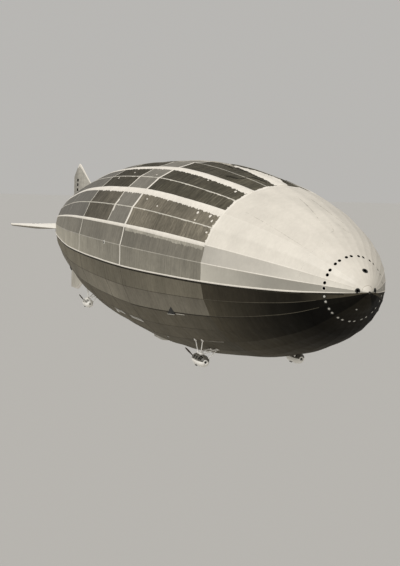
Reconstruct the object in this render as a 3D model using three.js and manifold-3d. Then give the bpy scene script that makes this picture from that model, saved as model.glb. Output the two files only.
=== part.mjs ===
import * as THREE from 'three';
import { mergeVertices } from 'three/addons/utils/BufferGeometryUtils.js';
import Module from 'manifold-3d';

const wasm = await Module();
wasm.setup();

// A rigid airship as a 1:10 scale model. Every size below is a full-size length in metres,
// and metre turns it into millimetres on the model. Stations are metres aft of the nose.
// +X points to the nose, +Y to port and +Z up, with the origin on the hull's axis.
const metre = 100;
const originStation = 100;
const seatGap = 0.003;
const skin = 0.1;

// The hull is a 30-sided form with a ridge at the top and at the keel.
const hullSides = 30;
const ridgeStep = 360 / hullSides;

// columns: station, radius to the ridges
const hullLines = [
  [0.3, 0.98], [0.8, 1.75], [1.5, 2.55], [2.8, 3.65], [4.5, 5.0], [6.2, 6.3], [8, 7.6],
  [11, 9.2], [14, 10.4], [18, 11.85], [22, 13.1], [26.3, 14.2], [30.7, 15.15],
  [36.7, 16.25], [42.7, 17.15], [54.7, 18.75], [66.7, 19.75], [79.9, 20.05], [92, 20.05],
  [104, 19.75], [117, 19.1], [130, 17.85], [143, 16.2], [156, 14.4], [169, 12.25],
  [182, 9.65], [195, 6.95], [207, 4.4], [215, 2.6], [220, 1.3], [223.1, 0],
];

// columns: node, first station, last station, colour
const hullBays = [
  ['nose_cap', 0.3, 8, 'cream'],
  ['nose_cover', 8, 30.7, 'cream'],
  ['hull_bay_1', 30.7, 66.7, 'cover'],
  ['hull_bay_2', 66.7, 79.9, 'cover'],
  ['hull_bay_3', 79.9, 104, 'cover'],
  ['hull_bay_4', 104, 130, 'cover'],
  ['hull_bay_5', 130, 156, 'cover'],
  ['hull_bay_6', 156, 182, 'cover'],
  ['hull_bay_7', 182, 207, 'cover'],
  ['tail_cone', 207, 223.1, 'cover'],
];

const mooringCone = {
  // columns: station, radius, from the seat on the nose cap to the spindle's flat front
  outline: [[0.3, 0.95], [-0.05, 0.6], [-0.28, 0.26], [-0.36, 0.12], [-0.7, 0.12]],
  sides: 16,
};

// air inlets: a ring of pairs, each pair either side of a thin ridge
const inlets = { station: 4.5, radius: 0.28, firstRidge: 12, ridgePitch: 24, halfSpread: 4.8, sides: 8 };
// ports at the tip, columns: station, angle from the top round to starboard, radius
const ports = [[2.0, 352, 0.3], [0.6, 84, 0.22], [0.6, 276, 0.22], [1.9, 165, 0.2]];
const portSides = 8;

// columns: node, the ridge that the facet starts from, first station, last station
const windowStrips = [
  ['promenade_windows_starboard_fore', 132, 67.2, 75.4],
  ['promenade_windows_starboard_aft', 132, 80.6, 87.9],
  ['promenade_windows_port_fore', 216, 67.2, 75.4],
  ['promenade_windows_port_aft', 216, 80.6, 87.9],
];
const windowStrip = { lowEdge: 0.25, highEdge: 0.04, thickness: 0.06 };

const tail = {
  root: 4,
  hingeStation: 193.35,
  runningGap: 0.08,
  surfaceRoot: 7.75,
  rootRadius: 0.45,
  tipRadius: 0.22,
  edgeThickness: 0.05,
  tipStation: 191.3,
  tipAt: 19.9,
};
// columns: station, height of the fin's edge above the hull's axis, half thickness at the root and edge
const finLines = [
  [164, 9.4, 0.12, 0.05],
  [170, 11.7, 0.5, 0.08],
  [176, 14.1, 0.85, 0.11],
  [182, 16.5, 1.05, 0.15],
  [187.5, 18.75, 0.95, 0.18],
  [190, 19.7, 0.8, 0.2],
  [191.3, 19.9, 0.7, 0.2],
];
// each hinge lug stands in an open notch, cut in the fin forward of it and in the surface aft of it
const hinge = { heights: [9.5, 11.75, 13.4, 14.9], lugHeight: 0.3, lugWidth: 0.16, eye: 0.13, pin: 0.06,
  pinReach: 0.16, notchHalf: 0.48, notchAft: 0.5, notchFore: 1.1, armFore: 1.5, socket: 0.068 };
// columns: fin node, surface node, turn about the hull's axis, reach at the tip, reach at the rear, rear station
const tailFins = [
  ['fin_top', 'rudder_top', 0, 20.3, 15.9, 199.6],
  ['fin_starboard', 'elevator_starboard', 90, 22.3, 21.2, 200],
  ['fin_bottom', 'rudder_bottom', 180, 21.1, 21.4, 201.4],
  ['fin_port', 'elevator_port', 270, 22.3, 21.2, 200],
];

const car = {
  length: 6.6,
  sides: 16,
  wall: 0.1,
  // columns: aft of the car's front, radius
  outline: [[0.15, 0.36], [0.45, 0.74], [1.0, 1.0], [1.9, 1.15], [4.3, 1.15], [5.3, 0.9], [6.1, 0.52], [6.6, 0.25]],
  engine: { from: 1.95, to: 4.15, width: 0.8, low: -0.45, high: 0.65 },
  bearer: { offset: 0.3, width: 0.12, low: -1.04 },
  saddle: { from: 2.0, to: 4.2, width: 0.7, low: 0.85, high: 1.42 },
  strutFoot: { fore: 2.3, aft: 3.9, side: 0.22, height: 1.28 },
  stayFoot: { along: 1.25, side: 0.84, height: 0.44 },
  shaft: 0.08,
  hub: { from: 6.72, to: 7.16, radius: 0.24, tip: 7.52 },
};
// columns: place, car's middle station, y, z, ridges that carry it, propeller's turn
const cars = [
  ['starboard_fore', 44.1, -9.75, -17.75, [156, 144], 45],
  ['port_fore', 44.1, 9.75, -17.75, [204, 216], 92],
  ['starboard_aft', 134.7, -10.0, -18.5, [156, 144], 40],
  ['port_aft', 134.7, 10.0, -18.5, [204, 216], 15],
  ['centre', 158, 0, -17.6, [168, 192], 60],
];
const strut = { thick: 0.15, thin: 0.1, sides: 8, spread: 0.8, overrun: 0.6 };
// columns: distance from the hub's axis, chord, thickness, pitch in degrees
const bladeLines = [
  [0.1, 0.2, 0.18, 62], [0.7, 0.3, 0.12, 46], [1.4, 0.37, 0.08, 30], [2.1, 0.31, 0.05, 21], [2.44, 0.12, 0.03, 18],
];

const controlCar = {
  rear: 100.4, front: 93.4, halfWidth: 1.3, bow: 1.9, floor: -22.5, floorThickness: 0.12, sill: -21.55,
  roof: -19.2, wall: 0.1,
  window: { low: -21.4, high: -20.6, width: 0.86 },
  sideWindows: [96.3, 97.4, 98.5, 99.6],
  bowWindows: [-52, 0, 52],
};

const finishes = {
  cream: { color: 0xd9d2bd, roughness: 0.55, metalness: 0.15 },
  cover: { color: 0x8f8875, roughness: 0.7, metalness: 0.1 },
  shade: { color: 0x5d5849, roughness: 0.75, metalness: 0.1 },
  carShell: { color: 0xded7c4, roughness: 0.45, metalness: 0.2 },
  strutMetal: { color: 0xa39b88, roughness: 0.5, metalness: 0.5 },
  castMetal: { color: 0x4b4842, roughness: 0.6, metalness: 0.7 },
  blade: { color: 0x3f3a33, roughness: 0.4, metalness: 0.3 },
  glass: { color: 0xe8e4d6, roughness: 0.2, metalness: 0.0 },
};

const airship = new THREE.Group();

function stationX(station) {
  return (originStation - station) * metre;
}

function radiusAt(station) {
  const next = hullLines.findIndex(([s]) => s >= station);
  const [s1, r1] = hullLines[next];
  if (next === 0 || s1 === station) return r1;
  const [s0, r0] = hullLines[next - 1];
  return r0 + (r1 - r0) * (station - s0) / (s1 - s0);
}

// a point on the hull's skin, its angle measured from the top round to starboard
function skinPoint(station, angle, inward = 0) {
  const turn = THREE.MathUtils.degToRad(angle);
  const radius = (radiusAt(station) - inward) * metre;
  return new THREE.Vector3(stationX(station), -radius * Math.sin(turn), radius * Math.cos(turn));
}

// the way that the skin faces, taken over a short stretch so that a row of hullLines doesn't matter
function skinNormal(station, angle) {
  const turn = THREE.MathUtils.degToRad(angle);
  const reach = 0.1;
  const slope = (radiusAt(station + reach) - radiusAt(station - reach)) / (2 * reach);
  return new THREE.Vector3(slope, -Math.sin(turn), Math.cos(turn)).normalize();
}

function toSolid(geometry) {
  const bare = geometry.clone();
  bare.deleteAttribute('normal');
  bare.deleteAttribute('uv');
  const merged = mergeVertices(bare, 1e-3);
  const index = merged.index.array;
  const triangles = [];
  for (let i = 0; i < index.length; i += 3) {
    const [a, b, c] = [index[i], index[i + 1], index[i + 2]];
    if (a !== b && b !== c && c !== a) triangles.push(a, b, c);
  }
  return new wasm.Manifold(new wasm.Mesh({
    numProp: 3,
    vertProperties: new Float32Array(merged.attributes.position.array),
    triVerts: new Uint32Array(triangles),
  }));
}

function toGeometry(solid) {
  const mesh = solid.getMesh();
  const geometry = new THREE.BufferGeometry();
  geometry.setAttribute('position', new THREE.BufferAttribute(new Float32Array(mesh.vertProperties), 3));
  geometry.setIndex(new THREE.BufferAttribute(new Uint32Array(mesh.triVerts), 1));
  geometry.computeVertexNormals();
  return geometry;
}

function addPart(name, solid, finish) {
  const part = new THREE.Mesh(toGeometry(solid), new THREE.MeshStandardMaterial(finishes[finish]));
  part.name = name;
  airship.add(part);
}

function join(solids) {
  return solids.reduce((whole, piece) => whole.add(piece));
}

// a turned body about a line along X; the outline runs from its aft end forward, [x, radius]
function turned(outline, sides) {
  const points = outline.map(([x, radius]) => new THREE.Vector2(radius * metre, x));
  return new THREE.LatheGeometry(points, sides).rotateZ(-Math.PI / 2);
}

function boxBetween(low, high) {
  const size = high.map((value, i) => (value - low[i]) * metre);
  const centre = high.map((value, i) => (value + low[i]) / 2 * metre);
  return new THREE.BoxGeometry(...size).translate(...centre);
}

function rod(from, to, radius, sides) {
  const along = to.clone().sub(from);
  const geometry = new THREE.CylinderGeometry(radius * metre, radius * metre, along.length(), sides);
  const turn = new THREE.Quaternion().setFromUnitVectors(new THREE.Vector3(0, 1, 0), along.clone().normalize());
  return geometry.applyQuaternion(turn).translate(...from.clone().add(to).divideScalar(2).toArray());
}

// a closed skin over rings of points, each ring with as many points as the next
function loft(rings) {
  const count = rings[0].length;
  const positions = rings.flat().flatMap((point) => point.toArray());
  const index = [];
  for (let ring = 0; ring < rings.length - 1; ring += 1) {
    for (let i = 0; i < count; i += 1) {
      const a = ring * count + i;
      const b = ring * count + (i + 1) % count;
      index.push(a, b, b + count, a, b + count, a + count);
    }
  }
  const last = (rings.length - 1) * count;
  for (let i = 1; i < count - 1; i += 1) {
    index.push(0, i + 1, i);
    index.push(last, last + i, last + i + 1);
  }
  const geometry = new THREE.BufferGeometry();
  geometry.setAttribute('position', new THREE.Float32BufferAttribute(positions, 3));
  geometry.setIndex(index);
  return geometry;
}

// the filled hull between two stations, grown by a margin, for trimming what meets the skin
function hullBlock(from, to, margin) {
  const rows = hullLines.filter(([station]) => station > from && station < to);
  const outline = [[from, radiusAt(from)], ...rows, [to, radiusAt(to)]].reverse();
  const skinRows = outline.map(([station, radius]) => [stationX(station), radius + margin]);
  return toSolid(turned([[stationX(to), 0], ...skinRows, [stationX(from), 0]], hullSides));
}

function addHullBays() {
  for (const [name, from, to, finish] of hullBays) {
    const rows = hullLines.filter(([station]) => station >= from && station <= to);
    const shift = (station) => (station === to && to < 223 ? -seatGap / 2 : 0) + (station === from ? seatGap / 2 : 0);
    const outer = rows.map(([station, radius]) => [stationX(station + shift(station)), radius]);
    const inner = outer.map(([x, radius]) => [x, radius - skin]);
    const last = outer.length - 1;
    if (outer[last][1] === 0) {
      const tipX = outer[last][0] + skin * metre * 3;
      inner[last] = [tipX, 0];
    }
    const outline = [...outer.slice().reverse(), ...inner];
    if (outer[last][1] > 0) outline.push(outline[0]);
    let shell = toSolid(turned(outline, hullSides));
    if (name === 'nose_cap') shell = shell.subtract(noseOpenings());
    addPart(name, shell, finish);
  }
}

function noseOpenings() {
  const cuts = [];
  const drill = (station, angle, radius, sides) => {
    const out = skinNormal(station, angle).multiplyScalar(0.5 * metre);
    const middle = skinPoint(station, angle);
    cuts.push(toSolid(rod(middle.clone().sub(out), middle.clone().add(out), radius, sides)));
  };
  for (let ridge = inlets.firstRidge; ridge < 360; ridge += inlets.ridgePitch) {
    drill(inlets.station, ridge - inlets.halfSpread, inlets.radius, inlets.sides);
    drill(inlets.station, ridge + inlets.halfSpread, inlets.radius, inlets.sides);
  }
  for (const [station, angle, radius] of ports) drill(station, angle, radius, portSides);
  return join(cuts);
}

function addMooringCone() {
  const rows = mooringCone.outline.map(([station, radius]) => [stationX(station - seatGap / 2), radius]);
  const outline = [[rows[0][0], 0], ...rows, [rows[rows.length - 1][0], 0]];
  addPart('bow_mooring_cone', toSolid(turned(outline, mooringCone.sides)), 'castMetal');
}

function addWindowStrips() {
  for (const [name, ridge, from, to] of windowStrips) {
    const mirrored = ridge > 180;
    const fractions = [windowStrip.highEdge, windowStrip.lowEdge].map((f) => (mirrored ? 1 - f : f));
    const corner = (station, fraction) => skinPoint(station, ridge)
      .lerp(skinPoint(station, ridge + ridgeStep), fraction);
    const base = [
      corner(from, fractions[0]), corner(to, fractions[0]), corner(to, fractions[1]), corner(from, fractions[1]),
    ];
    const normal = base[1].clone().sub(base[0]).cross(base[3].clone().sub(base[0])).normalize();
    if (normal.z > 0) normal.negate();
    const level = (height) => base.map((point) => point.clone().addScaledVector(normal, height * metre));
    const rings = [level(seatGap), level(seatGap + windowStrip.thickness)];
    if (mirrored) rings.forEach((ring) => ring.reverse());
    addPart(name, outward(loft(rings)), 'glass');
  }
}

// a solid from a skin whose faces may all point in
function outward(geometry) {
  const solid = toSolid(geometry);
  if (solid.volume() > 0) return solid;
  const flipped = geometry.clone();
  const index = geometry.index.array.slice();
  for (let i = 0; i < index.length; i += 3) [index[i], index[i + 1]] = [index[i + 1], index[i]];
  flipped.setIndex(new THREE.BufferAttribute(new Uint32Array(index), 1));
  return toSolid(flipped);
}

function noseRadius(height) {
  const share = (height - tail.surfaceRoot) / (tail.tipAt - tail.surfaceRoot);
  return tail.rootRadius + (tail.tipRadius - tail.rootRadius) * share;
}

// the drop of the outer edge from the fin's tip to the surface's rear, metres per metre
function edgeSlope(reach, rearReach, rearStation) {
  return (reach - rearReach) / (rearStation - tail.tipStation);
}

function finSolid(reach, slope) {
  const stretch = (top) => 10 + (top - 10) * (reach - 10) / (tail.tipAt - 10);
  const faceAt = (height) => tail.hingeStation - noseRadius(height) - tail.runningGap;
  const rings = finLines.map(([station, top, half, edge]) => finRing(() => station, stretch(top), half, edge));
  const lastTop = reach - slope * (faceAt(tail.tipAt) - tail.tipStation);
  rings.push(finRing(faceAt, lastTop, tail.rootRadius + 0.08, tail.tipRadius));
  return outward(loft(rings)).subtract(hingeNotches(1, hinge.notchFore));
}

// open notches at every hinge, from just past the hinge line to a depth on its fore or aft side
function hingeNotches(side, depth) {
  const x = originStation - tail.hingeStation;
  const [low, high] = [x - side * 2, x + side * depth].sort((a, b) => a - b);
  return join(hinge.heights.map((height) => toSolid(boxBetween(
    [low, -2, height - hinge.notchHalf], [high, 2, height + hinge.notchHalf],
  ))));
}

function finRing(stationAt, top, half, edge) {
  const rimHeight = top - edge;
  const point = (height, y) => new THREE.Vector3(stationX(stationAt(height)), y * metre, height * metre);
  return [point(tail.root, -half), point(tail.root, half), point(rimHeight, edge), point(top, 0), point(rimHeight, -edge)];
}

function hingePoint(height) {
  return new THREE.Vector3(stationX(tail.hingeStation), 0, height * metre);
}

function hingeLugs() {
  const x = originStation - tail.hingeStation;
  return hinge.heights.flatMap((height) => {
    const bottom = height - hinge.lugHeight / 2;
    const top = height + hinge.lugHeight / 2;
    const arm = boxBetween([x, -hinge.lugWidth / 2, bottom], [x + hinge.armFore, hinge.lugWidth / 2, top]);
    const eye = rod(hingePoint(bottom), hingePoint(top), hinge.eye, 12);
    const pinHalf = hinge.notchHalf + hinge.pinReach;
    const pin = rod(hingePoint(height - pinHalf), hingePoint(height + pinHalf), hinge.pin, 12);
    return [toSolid(arm), toSolid(eye), toSolid(pin)];
  });
}

function surfaceSolid(reach, slope, rearStation) {
  const x = originStation - tail.hingeStation;
  const top = reach + 0.5;
  const endX = originStation - rearStation;
  const ring = (height) => {
    const radius = noseRadius(height);
    const points = [];
    for (let i = 0; i <= 6; i += 1) {
      const turn = Math.PI * i / 6 - Math.PI / 2;
      points.push(new THREE.Vector3((x + radius * Math.cos(turn)) * metre, radius * Math.sin(turn) * metre, height * metre));
    }
    points.push(new THREE.Vector3(endX * metre, tail.edgeThickness / 2 * metre, height * metre));
    points.push(new THREE.Vector3(endX * metre, -tail.edgeThickness / 2 * metre, height * metre));
    return points;
  };
  let surface = outward(loft([ring(tail.surfaceRoot), ring(top)]));
  const shave = new THREE.BoxGeometry(40 * metre, 4 * metre, 10 * metre)
    .translate(0, 0, 5 * metre)
    .rotateY(-Math.atan(slope))
    .translate(stationX(tail.tipStation), 0, reach * metre);
  surface = surface.subtract(toSolid(shave)).subtract(hingeNotches(-1, hinge.notchAft));
  for (const height of hinge.heights) {
    const socketHalf = hinge.notchHalf + hinge.pinReach + 0.04;
    const socket = rod(hingePoint(height - socketHalf), hingePoint(height + socketHalf), hinge.socket, 12);
    surface = surface.subtract(toSolid(socket));
  }
  return surface;
}

function addTail() {
  const trim = hullBlock(150, 215, seatGap);
  for (const [finName, surfaceName, turn, reach, rearReach, rearStation] of tailFins) {
    const slope = edgeSlope(reach, rearReach, rearStation);
    const fin = join([finSolid(reach, slope), ...hingeLugs()]).rotate([turn, 0, 0]).subtract(trim);
    addPart(finName, fin, 'cover');
    addPart(surfaceName, surfaceSolid(reach, slope, rearStation).rotate([turn, 0, 0]), 'cover');
  }
}

function carBody(outline, x, y, z) {
  return toSolid(turned(outline, car.sides).translate(x, y * metre, z * metre));
}

function addCars() {
  for (const [place, station, y, z, ridges, turn] of cars) {
    const frontX = stationX(station - car.length / 2);
    const alongX = (along) => frontX - along * metre;
    const carX = (along) => alongX(along) / metre;
    const outer = car.outline.map(([along, radius]) => [alongX(along), radius]).reverse();
    const inner = outer.map(([x, radius]) => [x, radius - car.wall]).reverse();
    const shell = carBody([...outer, ...inner, outer[0]], 0, y, z);
    const { engine, bearer, saddle } = car;
    const bearers = [-1, 1].map((side) => toSolid(boxBetween(
      [carX(engine.to), y + side * bearer.offset - bearer.width / 2, z + bearer.low],
      [carX(engine.from), y + side * bearer.offset + bearer.width / 2, z + engine.low - seatGap],
    )));
    addPart(`car_shell_${place}`, join([shell, ...bearers]), 'carShell');
    addPart(`engine_${place}`, toSolid(boxBetween(
      [carX(engine.to), y - engine.width / 2, z + engine.low],
      [carX(engine.from), y + engine.width / 2, z + engine.high],
    )), 'castMetal');
    addPart(`struts_${place}`, strutSet(carX, y, z, ridges, outer, saddle), 'strutMetal');
    addPart(`propeller_${place}`, propeller(alongX, y, z, turn), 'blade');
  }
}

function strutSet(carX, y, z, ridges, outer, saddle) {
  const seat = toSolid(boxBetween(
    [carX(saddle.to), y - saddle.width / 2, z + saddle.low],
    [carX(saddle.from), y + saddle.width / 2, z + saddle.high],
  ));
  const bars = [];
  const addBar = (along, side, height, top, radius) => {
    const foot = new THREE.Vector3(carX(along), y + side, z + height).multiplyScalar(metre);
    const past = top.clone().add(top.clone().sub(foot).setLength(strut.overrun * metre));
    bars.push(toSolid(rod(foot, past, radius, strut.sides)));
  };
  for (const [end, lean] of [[car.strutFoot.fore, 1], [car.strutFoot.aft, -1]]) {
    ridges.forEach((ridge, i) => {
      const top = skinPoint(originStation - carX(end) - lean * strut.spread, ridge);
      const side = Math.sign(top.y - y * metre);
      const inboard = i === 0 || y === 0;
      addBar(end, side * car.strutFoot.side, car.strutFoot.height, top, inboard ? strut.thick : strut.thin);
      // a stay from the car's flank meets the fore inboard strut at its head
      if (inboard && lean > 0) addBar(car.stayFoot.along, side * car.stayFoot.side, car.stayFoot.height, top, strut.thin);
    });
  }
  const station = originStation - carX(car.length / 2);
  const body = carBody([[outer[0][0], 0], ...outer.map(([x, r]) => [x, r + seatGap]), [outer.at(-1)[0], 0]], 0, y, z);
  return join([seat, ...bars]).subtract(body).subtract(hullBlock(station - 12, station + 12, seatGap));
}

function propeller(alongX, y, z, turn) {
  const { hub, engine, shaft } = car;
  const outline = [
    [alongX(hub.tip), 0], [alongX(hub.to), hub.radius], [alongX(hub.from), hub.radius],
    [alongX(hub.from), shaft], [alongX(engine.to + seatGap), shaft], [alongX(engine.to + seatGap), 0],
  ];
  const boss = toSolid(turned(outline, 12));
  const hubMiddle = alongX((hub.from + hub.to) / 2);
  const ring = ([reach, chord, thick, pitch]) => {
    const lens = [[-0.5, 0], [-0.2, 0.5], [0.25, 0.42], [0.5, 0], [0.25, -0.3], [-0.2, -0.35]];
    const angle = THREE.MathUtils.degToRad(pitch);
    return lens.map(([across, up]) => new THREE.Vector3(
      hubMiddle + (across * chord * Math.sin(angle) + up * thick * Math.cos(angle)) * metre,
      (across * chord * Math.cos(angle) - up * thick * Math.sin(angle)) * metre,
      reach * metre,
    ));
  };
  const blade = outward(loft(bladeLines.map(ring)));
  const both = join([boss, blade, blade.rotate([180, 0, 0])]);
  return both.rotate([turn, 0, 0]).translate([0, y * metre, z * metre]);
}

function cabinOutline(inset) {
  const { rear, front, halfWidth, bow } = controlCar;
  const half = halfWidth - inset;
  const bowX = originStation - front - bow;
  const rearX = originStation - rear + inset;
  const shape = new THREE.Shape();
  shape.moveTo(rearX * metre, -half * metre);
  shape.lineTo(bowX * metre, -half * metre);
  shape.absellipse(bowX * metre, 0, (bow - inset) * metre, half * metre, -Math.PI / 2, Math.PI / 2);
  shape.lineTo(rearX * metre, half * metre);
  shape.closePath();
  return shape;
}

function cabinWall(low, high) {
  const ring = cabinOutline(0);
  ring.holes.push(cabinOutline(controlCar.wall));
  const options = { depth: (high - low) * metre, bevelEnabled: false, curveSegments: 10 };
  return toSolid(new THREE.ExtrudeGeometry(ring, options).translate(0, 0, low * metre));
}

function addControlCar() {
  const { floor, floorThickness, sill, roof, window: pane, sideWindows, bowWindows, front, bow, rear } = controlCar;
  const slab = new THREE.ExtrudeGeometry(cabinOutline(0), {
    depth: floorThickness * metre, bevelEnabled: false, curveSegments: 10,
  }).translate(0, 0, floor * metre);
  addPart('control_car_tub', join([toSolid(slab), cabinWall(floor + floorThickness / 2, sill - seatGap)]), 'cover');
  let walls = cabinWall(sill, roof);
  for (const station of sideWindows) {
    const x = originStation - station;
    walls = walls.subtract(toSolid(boxBetween([x - pane.width / 2, -3, pane.low], [x + pane.width / 2, 3, pane.high])));
  }
  const bowX = originStation - front - bow;
  for (const angle of bowWindows) {
    const cut = boxBetween([0.4, -pane.width / 2, pane.low], [4, pane.width / 2, pane.high])
      .rotateZ(THREE.MathUtils.degToRad(angle)).translate(bowX * metre, 0, 0);
    walls = walls.subtract(toSolid(cut));
  }
  const rearX = originStation - rear;
  walls = walls.subtract(toSolid(boxBetween([rearX - 1, -pane.width / 2, pane.low], [rearX + 1, pane.width / 2, pane.high])));
  addPart('control_car_walls', walls.subtract(hullBlock(85, 110, seatGap)), 'cover');
}

addMooringCone();
addHullBays();
addWindowStrips();
addTail();
addCars();
addControlCar();

export default airship;
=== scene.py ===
import math
import bmesh
import bpy
import numpy as np
from mathutils import Matrix, Vector


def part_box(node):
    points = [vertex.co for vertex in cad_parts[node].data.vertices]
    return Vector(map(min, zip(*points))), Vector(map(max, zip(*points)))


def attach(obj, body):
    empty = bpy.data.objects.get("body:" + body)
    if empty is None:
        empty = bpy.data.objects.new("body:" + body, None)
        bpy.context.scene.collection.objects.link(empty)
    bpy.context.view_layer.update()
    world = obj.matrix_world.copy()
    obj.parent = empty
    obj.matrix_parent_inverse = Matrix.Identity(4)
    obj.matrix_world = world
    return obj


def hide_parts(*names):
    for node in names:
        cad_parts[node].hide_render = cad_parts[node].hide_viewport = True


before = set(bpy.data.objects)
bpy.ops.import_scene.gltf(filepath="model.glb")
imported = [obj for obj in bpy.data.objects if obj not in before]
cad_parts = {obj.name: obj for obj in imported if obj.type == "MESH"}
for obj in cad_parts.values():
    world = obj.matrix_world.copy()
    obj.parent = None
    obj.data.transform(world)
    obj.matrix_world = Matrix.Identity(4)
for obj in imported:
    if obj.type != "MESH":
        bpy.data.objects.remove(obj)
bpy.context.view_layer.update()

# The airship is a 1:10 scale model. Sizes below are full-size lengths in metres, stations are
# metres aft of the nose, and angles are degrees from the top of the hull round to starboard.
modelScale = 0.1
originStation = 100.0
ridgeStep = 12.0
seed = 1929


def stationX(station):
    return (originStation - station) * modelScale


def at(station, y, z):
    return np.array([stationX(station), y * modelScale, z * modelScale])


def stationsOf(node):
    # the first and the last station of a node
    low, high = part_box(node)
    return originStation - high.x / modelScale, originStation - low.x / modelScale


def columnOf(rows, index):
    return [row[index] for row in rows]


def unit(vector):
    return vector / np.linalg.norm(vector)


def fromCrown(angle):
    # an angle counted from -180 to 180 degrees, 0 at the crown
    return (angle + 180) % 360 - 180


def towardsKeel(ridge):
    # which way the angles grow from a ridge down to the keel
    return 1 if ridge <= 180 else -1


def cosSin(degrees):
    turn = math.radians(degrees)
    return math.cos(turn), math.sin(turn)


def evenTurns(count):
    return np.arange(count) * 2 * math.pi / count


# Finishes: colours are linear values. Mottle, grain and streak say how uneven a cloth is, and seam how much
# lighter its sewn lines are, every seamPitch metres. Fade pairs give the share of the colour at each station;
# on the nose, the underside and the top fin they are painted shade.
evenCloth = {
    "mottle": 0.06, "grain": 0.04, "streak": 0.0, "seam": 0.0, "seamPitch": 2.4, "rough": 0.5, "gloss": 0.25,
}
wornCloth = {
    "mottle": 0.12, "grain": 0.11, "streak": 0.13, "seam": 0.12, "seamPitch": 1.25,
    "rough": 0.6, "gloss": 0.15,
}
darkCloth = {
    **wornCloth, "mottle": 0.2, "grain": 0.22, "streak": 0.38, "seam": 0.75, "rough": 0.7, "gloss": 0.08,
}
underCloth = {**wornCloth, "streak": 0.1, "seam": 0.05, "rough": 0.75, "gloss": 0.08}


def cloth(kind, colour, *fade, **changes):
    return {**kind, "colour": colour, "fade": fade, **changes}


clothLooks = {
    # creamCrown to creamLow: one cream cloth toned by angle, the shoulder lighter to even out the light
    # (painted light), the sides darker down and aft (painted shade)
    "creamCrown": cloth(evenCloth, (0.672, 0.625, 0.545)),
    "creamShoulder": cloth(evenCloth, (0.715, 0.668, 0.585)),
    "creamSide": cloth(
        evenCloth, (0.735, 0.69, 0.603), (0, 1.0), (8, 0.86), (14, 0.76), (22, 0.73), (31, 0.63)),
    "creamLow": cloth(
        evenCloth, (0.525, 0.495, 0.424), (0, 0.78), (8, 0.63), (14, 0.63), (20, 0.82), (31, 1.0)),
    # noseFlank to noseKeel: the nose's underside, near black towards the tip: painted shade
    "noseFlank": cloth(
        underCloth, (0.053, 0.045, 0.031), (0, 1.5), (5, 0.7), (8, 0.24), (14, 0.34), (20, 0.62), (31, 1.0)),
    "noseUnder": cloth(
        underCloth, (0.082, 0.071, 0.049), (0, 0.1), (8, 0.06), (14, 0.17), (20, 0.45), (31, 1.0)),
    "noseDeep": cloth(
        underCloth, (0.08, 0.069, 0.048),
        (0, 0.09), (8, 0.045), (14, 0.18), (20, 0.42), (27, 0.8), (31, 1.08)),
    "noseKeel": cloth(
        underCloth, (0.08, 0.069, 0.048), (0, 0.27), (8, 0.115), (14, 0.355), (20, 0.64), (31, 0.95)),
    "darkPanel": cloth(darkCloth, (0.084, 0.075, 0.054), (31, 1.0), (44, 0.85), (66, 0.62), (104, 0.58)),
    "duskPanel": cloth(
        darkCloth, (0.166, 0.147, 0.112), (31, 1.15), (44, 0.85), (64, 1.1), (82, 0.7), (104, 0.45),
        streak=0.26, seam=0.5),
    "greyPanel": cloth(wornCloth, (0.185, 0.171, 0.143)),
    "sidePanel": cloth(
        wornCloth, (0.205, 0.188, 0.152),
        (31, 1.0), (50, 0.84), (66, 0.76), (70, 1.0), (90, 0.82), (130, 1.0)),
    "sideLow": cloth(
        wornCloth, (0.225, 0.208, 0.168), (31, 0.95), (45, 1.08), (66, 0.97), (98, 1.3), (118, 1.7)),
    "aftCrown": cloth(wornCloth, (0.13, 0.121, 0.103)),
    # lowerSide to lowerKeel: the underside behind the nose, toned by angle and station: painted shade
    "lowerSide": cloth(
        underCloth, (0.152, 0.136, 0.102), (31, 0.98), (44, 1.15), (66, 0.92), (80, 0.95), (104, 1.2)),
    "lowerFlank": cloth(
        underCloth, (0.225, 0.204, 0.16),
        (31, 0.72), (42, 0.9), (68, 0.92), (76, 1.2), (98, 1.1), (120, 0.9)),
    "lowerDeep": cloth(
        underCloth, (0.165, 0.147, 0.11), (31, 0.52), (42, 0.9), (66, 0.98), (86, 1.1), (104, 1.0)),
    "lowerKeel": cloth(underCloth, (0.158, 0.141, 0.105), (31, 0.48), (42, 0.78), (66, 1.0)),
    "bandTape": cloth(evenCloth, (0.78, 0.73, 0.645), grain=0.08),
    "laceTape": cloth(evenCloth, (0.58, 0.545, 0.47), mottle=0.2, grain=0.2),
    "thinTape": cloth(evenCloth, (0.36, 0.335, 0.283), mottle=0.2, grain=0.2),
    # creaseShade and noseCrease: painted shade along creases and below ridges
    "creaseShade": cloth(underCloth, (0.028, 0.025, 0.018)),
    "noseCrease": cloth(underCloth, (0.59, 0.548, 0.475), mottle=0.25, grain=0.3),
    "noseSeam": cloth(underCloth, (0.085, 0.075, 0.055)),
    "lowerSeam": cloth(underCloth, (0.075, 0.066, 0.05)),
    "wornBand": cloth(evenCloth, (0.36, 0.325, 0.26), mottle=0.4, grain=0.4),
    "skirtCloth": cloth(evenCloth, (0.36, 0.335, 0.275), mottle=0.25, grain=0.25),
    # finCover, the top fin, is darker than finLower, the bottom fin, and darker still aft of the hinge:
    # painted shade and painted light
    "finCover": cloth(
        wornCloth, (0.38, 0.36, 0.312), (172, 1.3), (184, 1.1), (193, 0.95), (194, 0.78), (200, 0.7)),
    "finLower": cloth(wornCloth, (0.74, 0.7, 0.61)),
    # finBright and finUnder, a level fin's top and underside: painted light and painted shade
    "finBright": cloth(evenCloth, (0.93, 0.885, 0.8)),
    "finUnder": cloth(wornCloth, (0.2, 0.185, 0.15)),
    # hingeShade is near black: painted shade in the hinge notches and sockets, on the fins' rear faces and on
    # the panels ahead of the hinges
    "hingeShade": cloth(underCloth, (0.012, 0.01, 0.008)),
}
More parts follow.
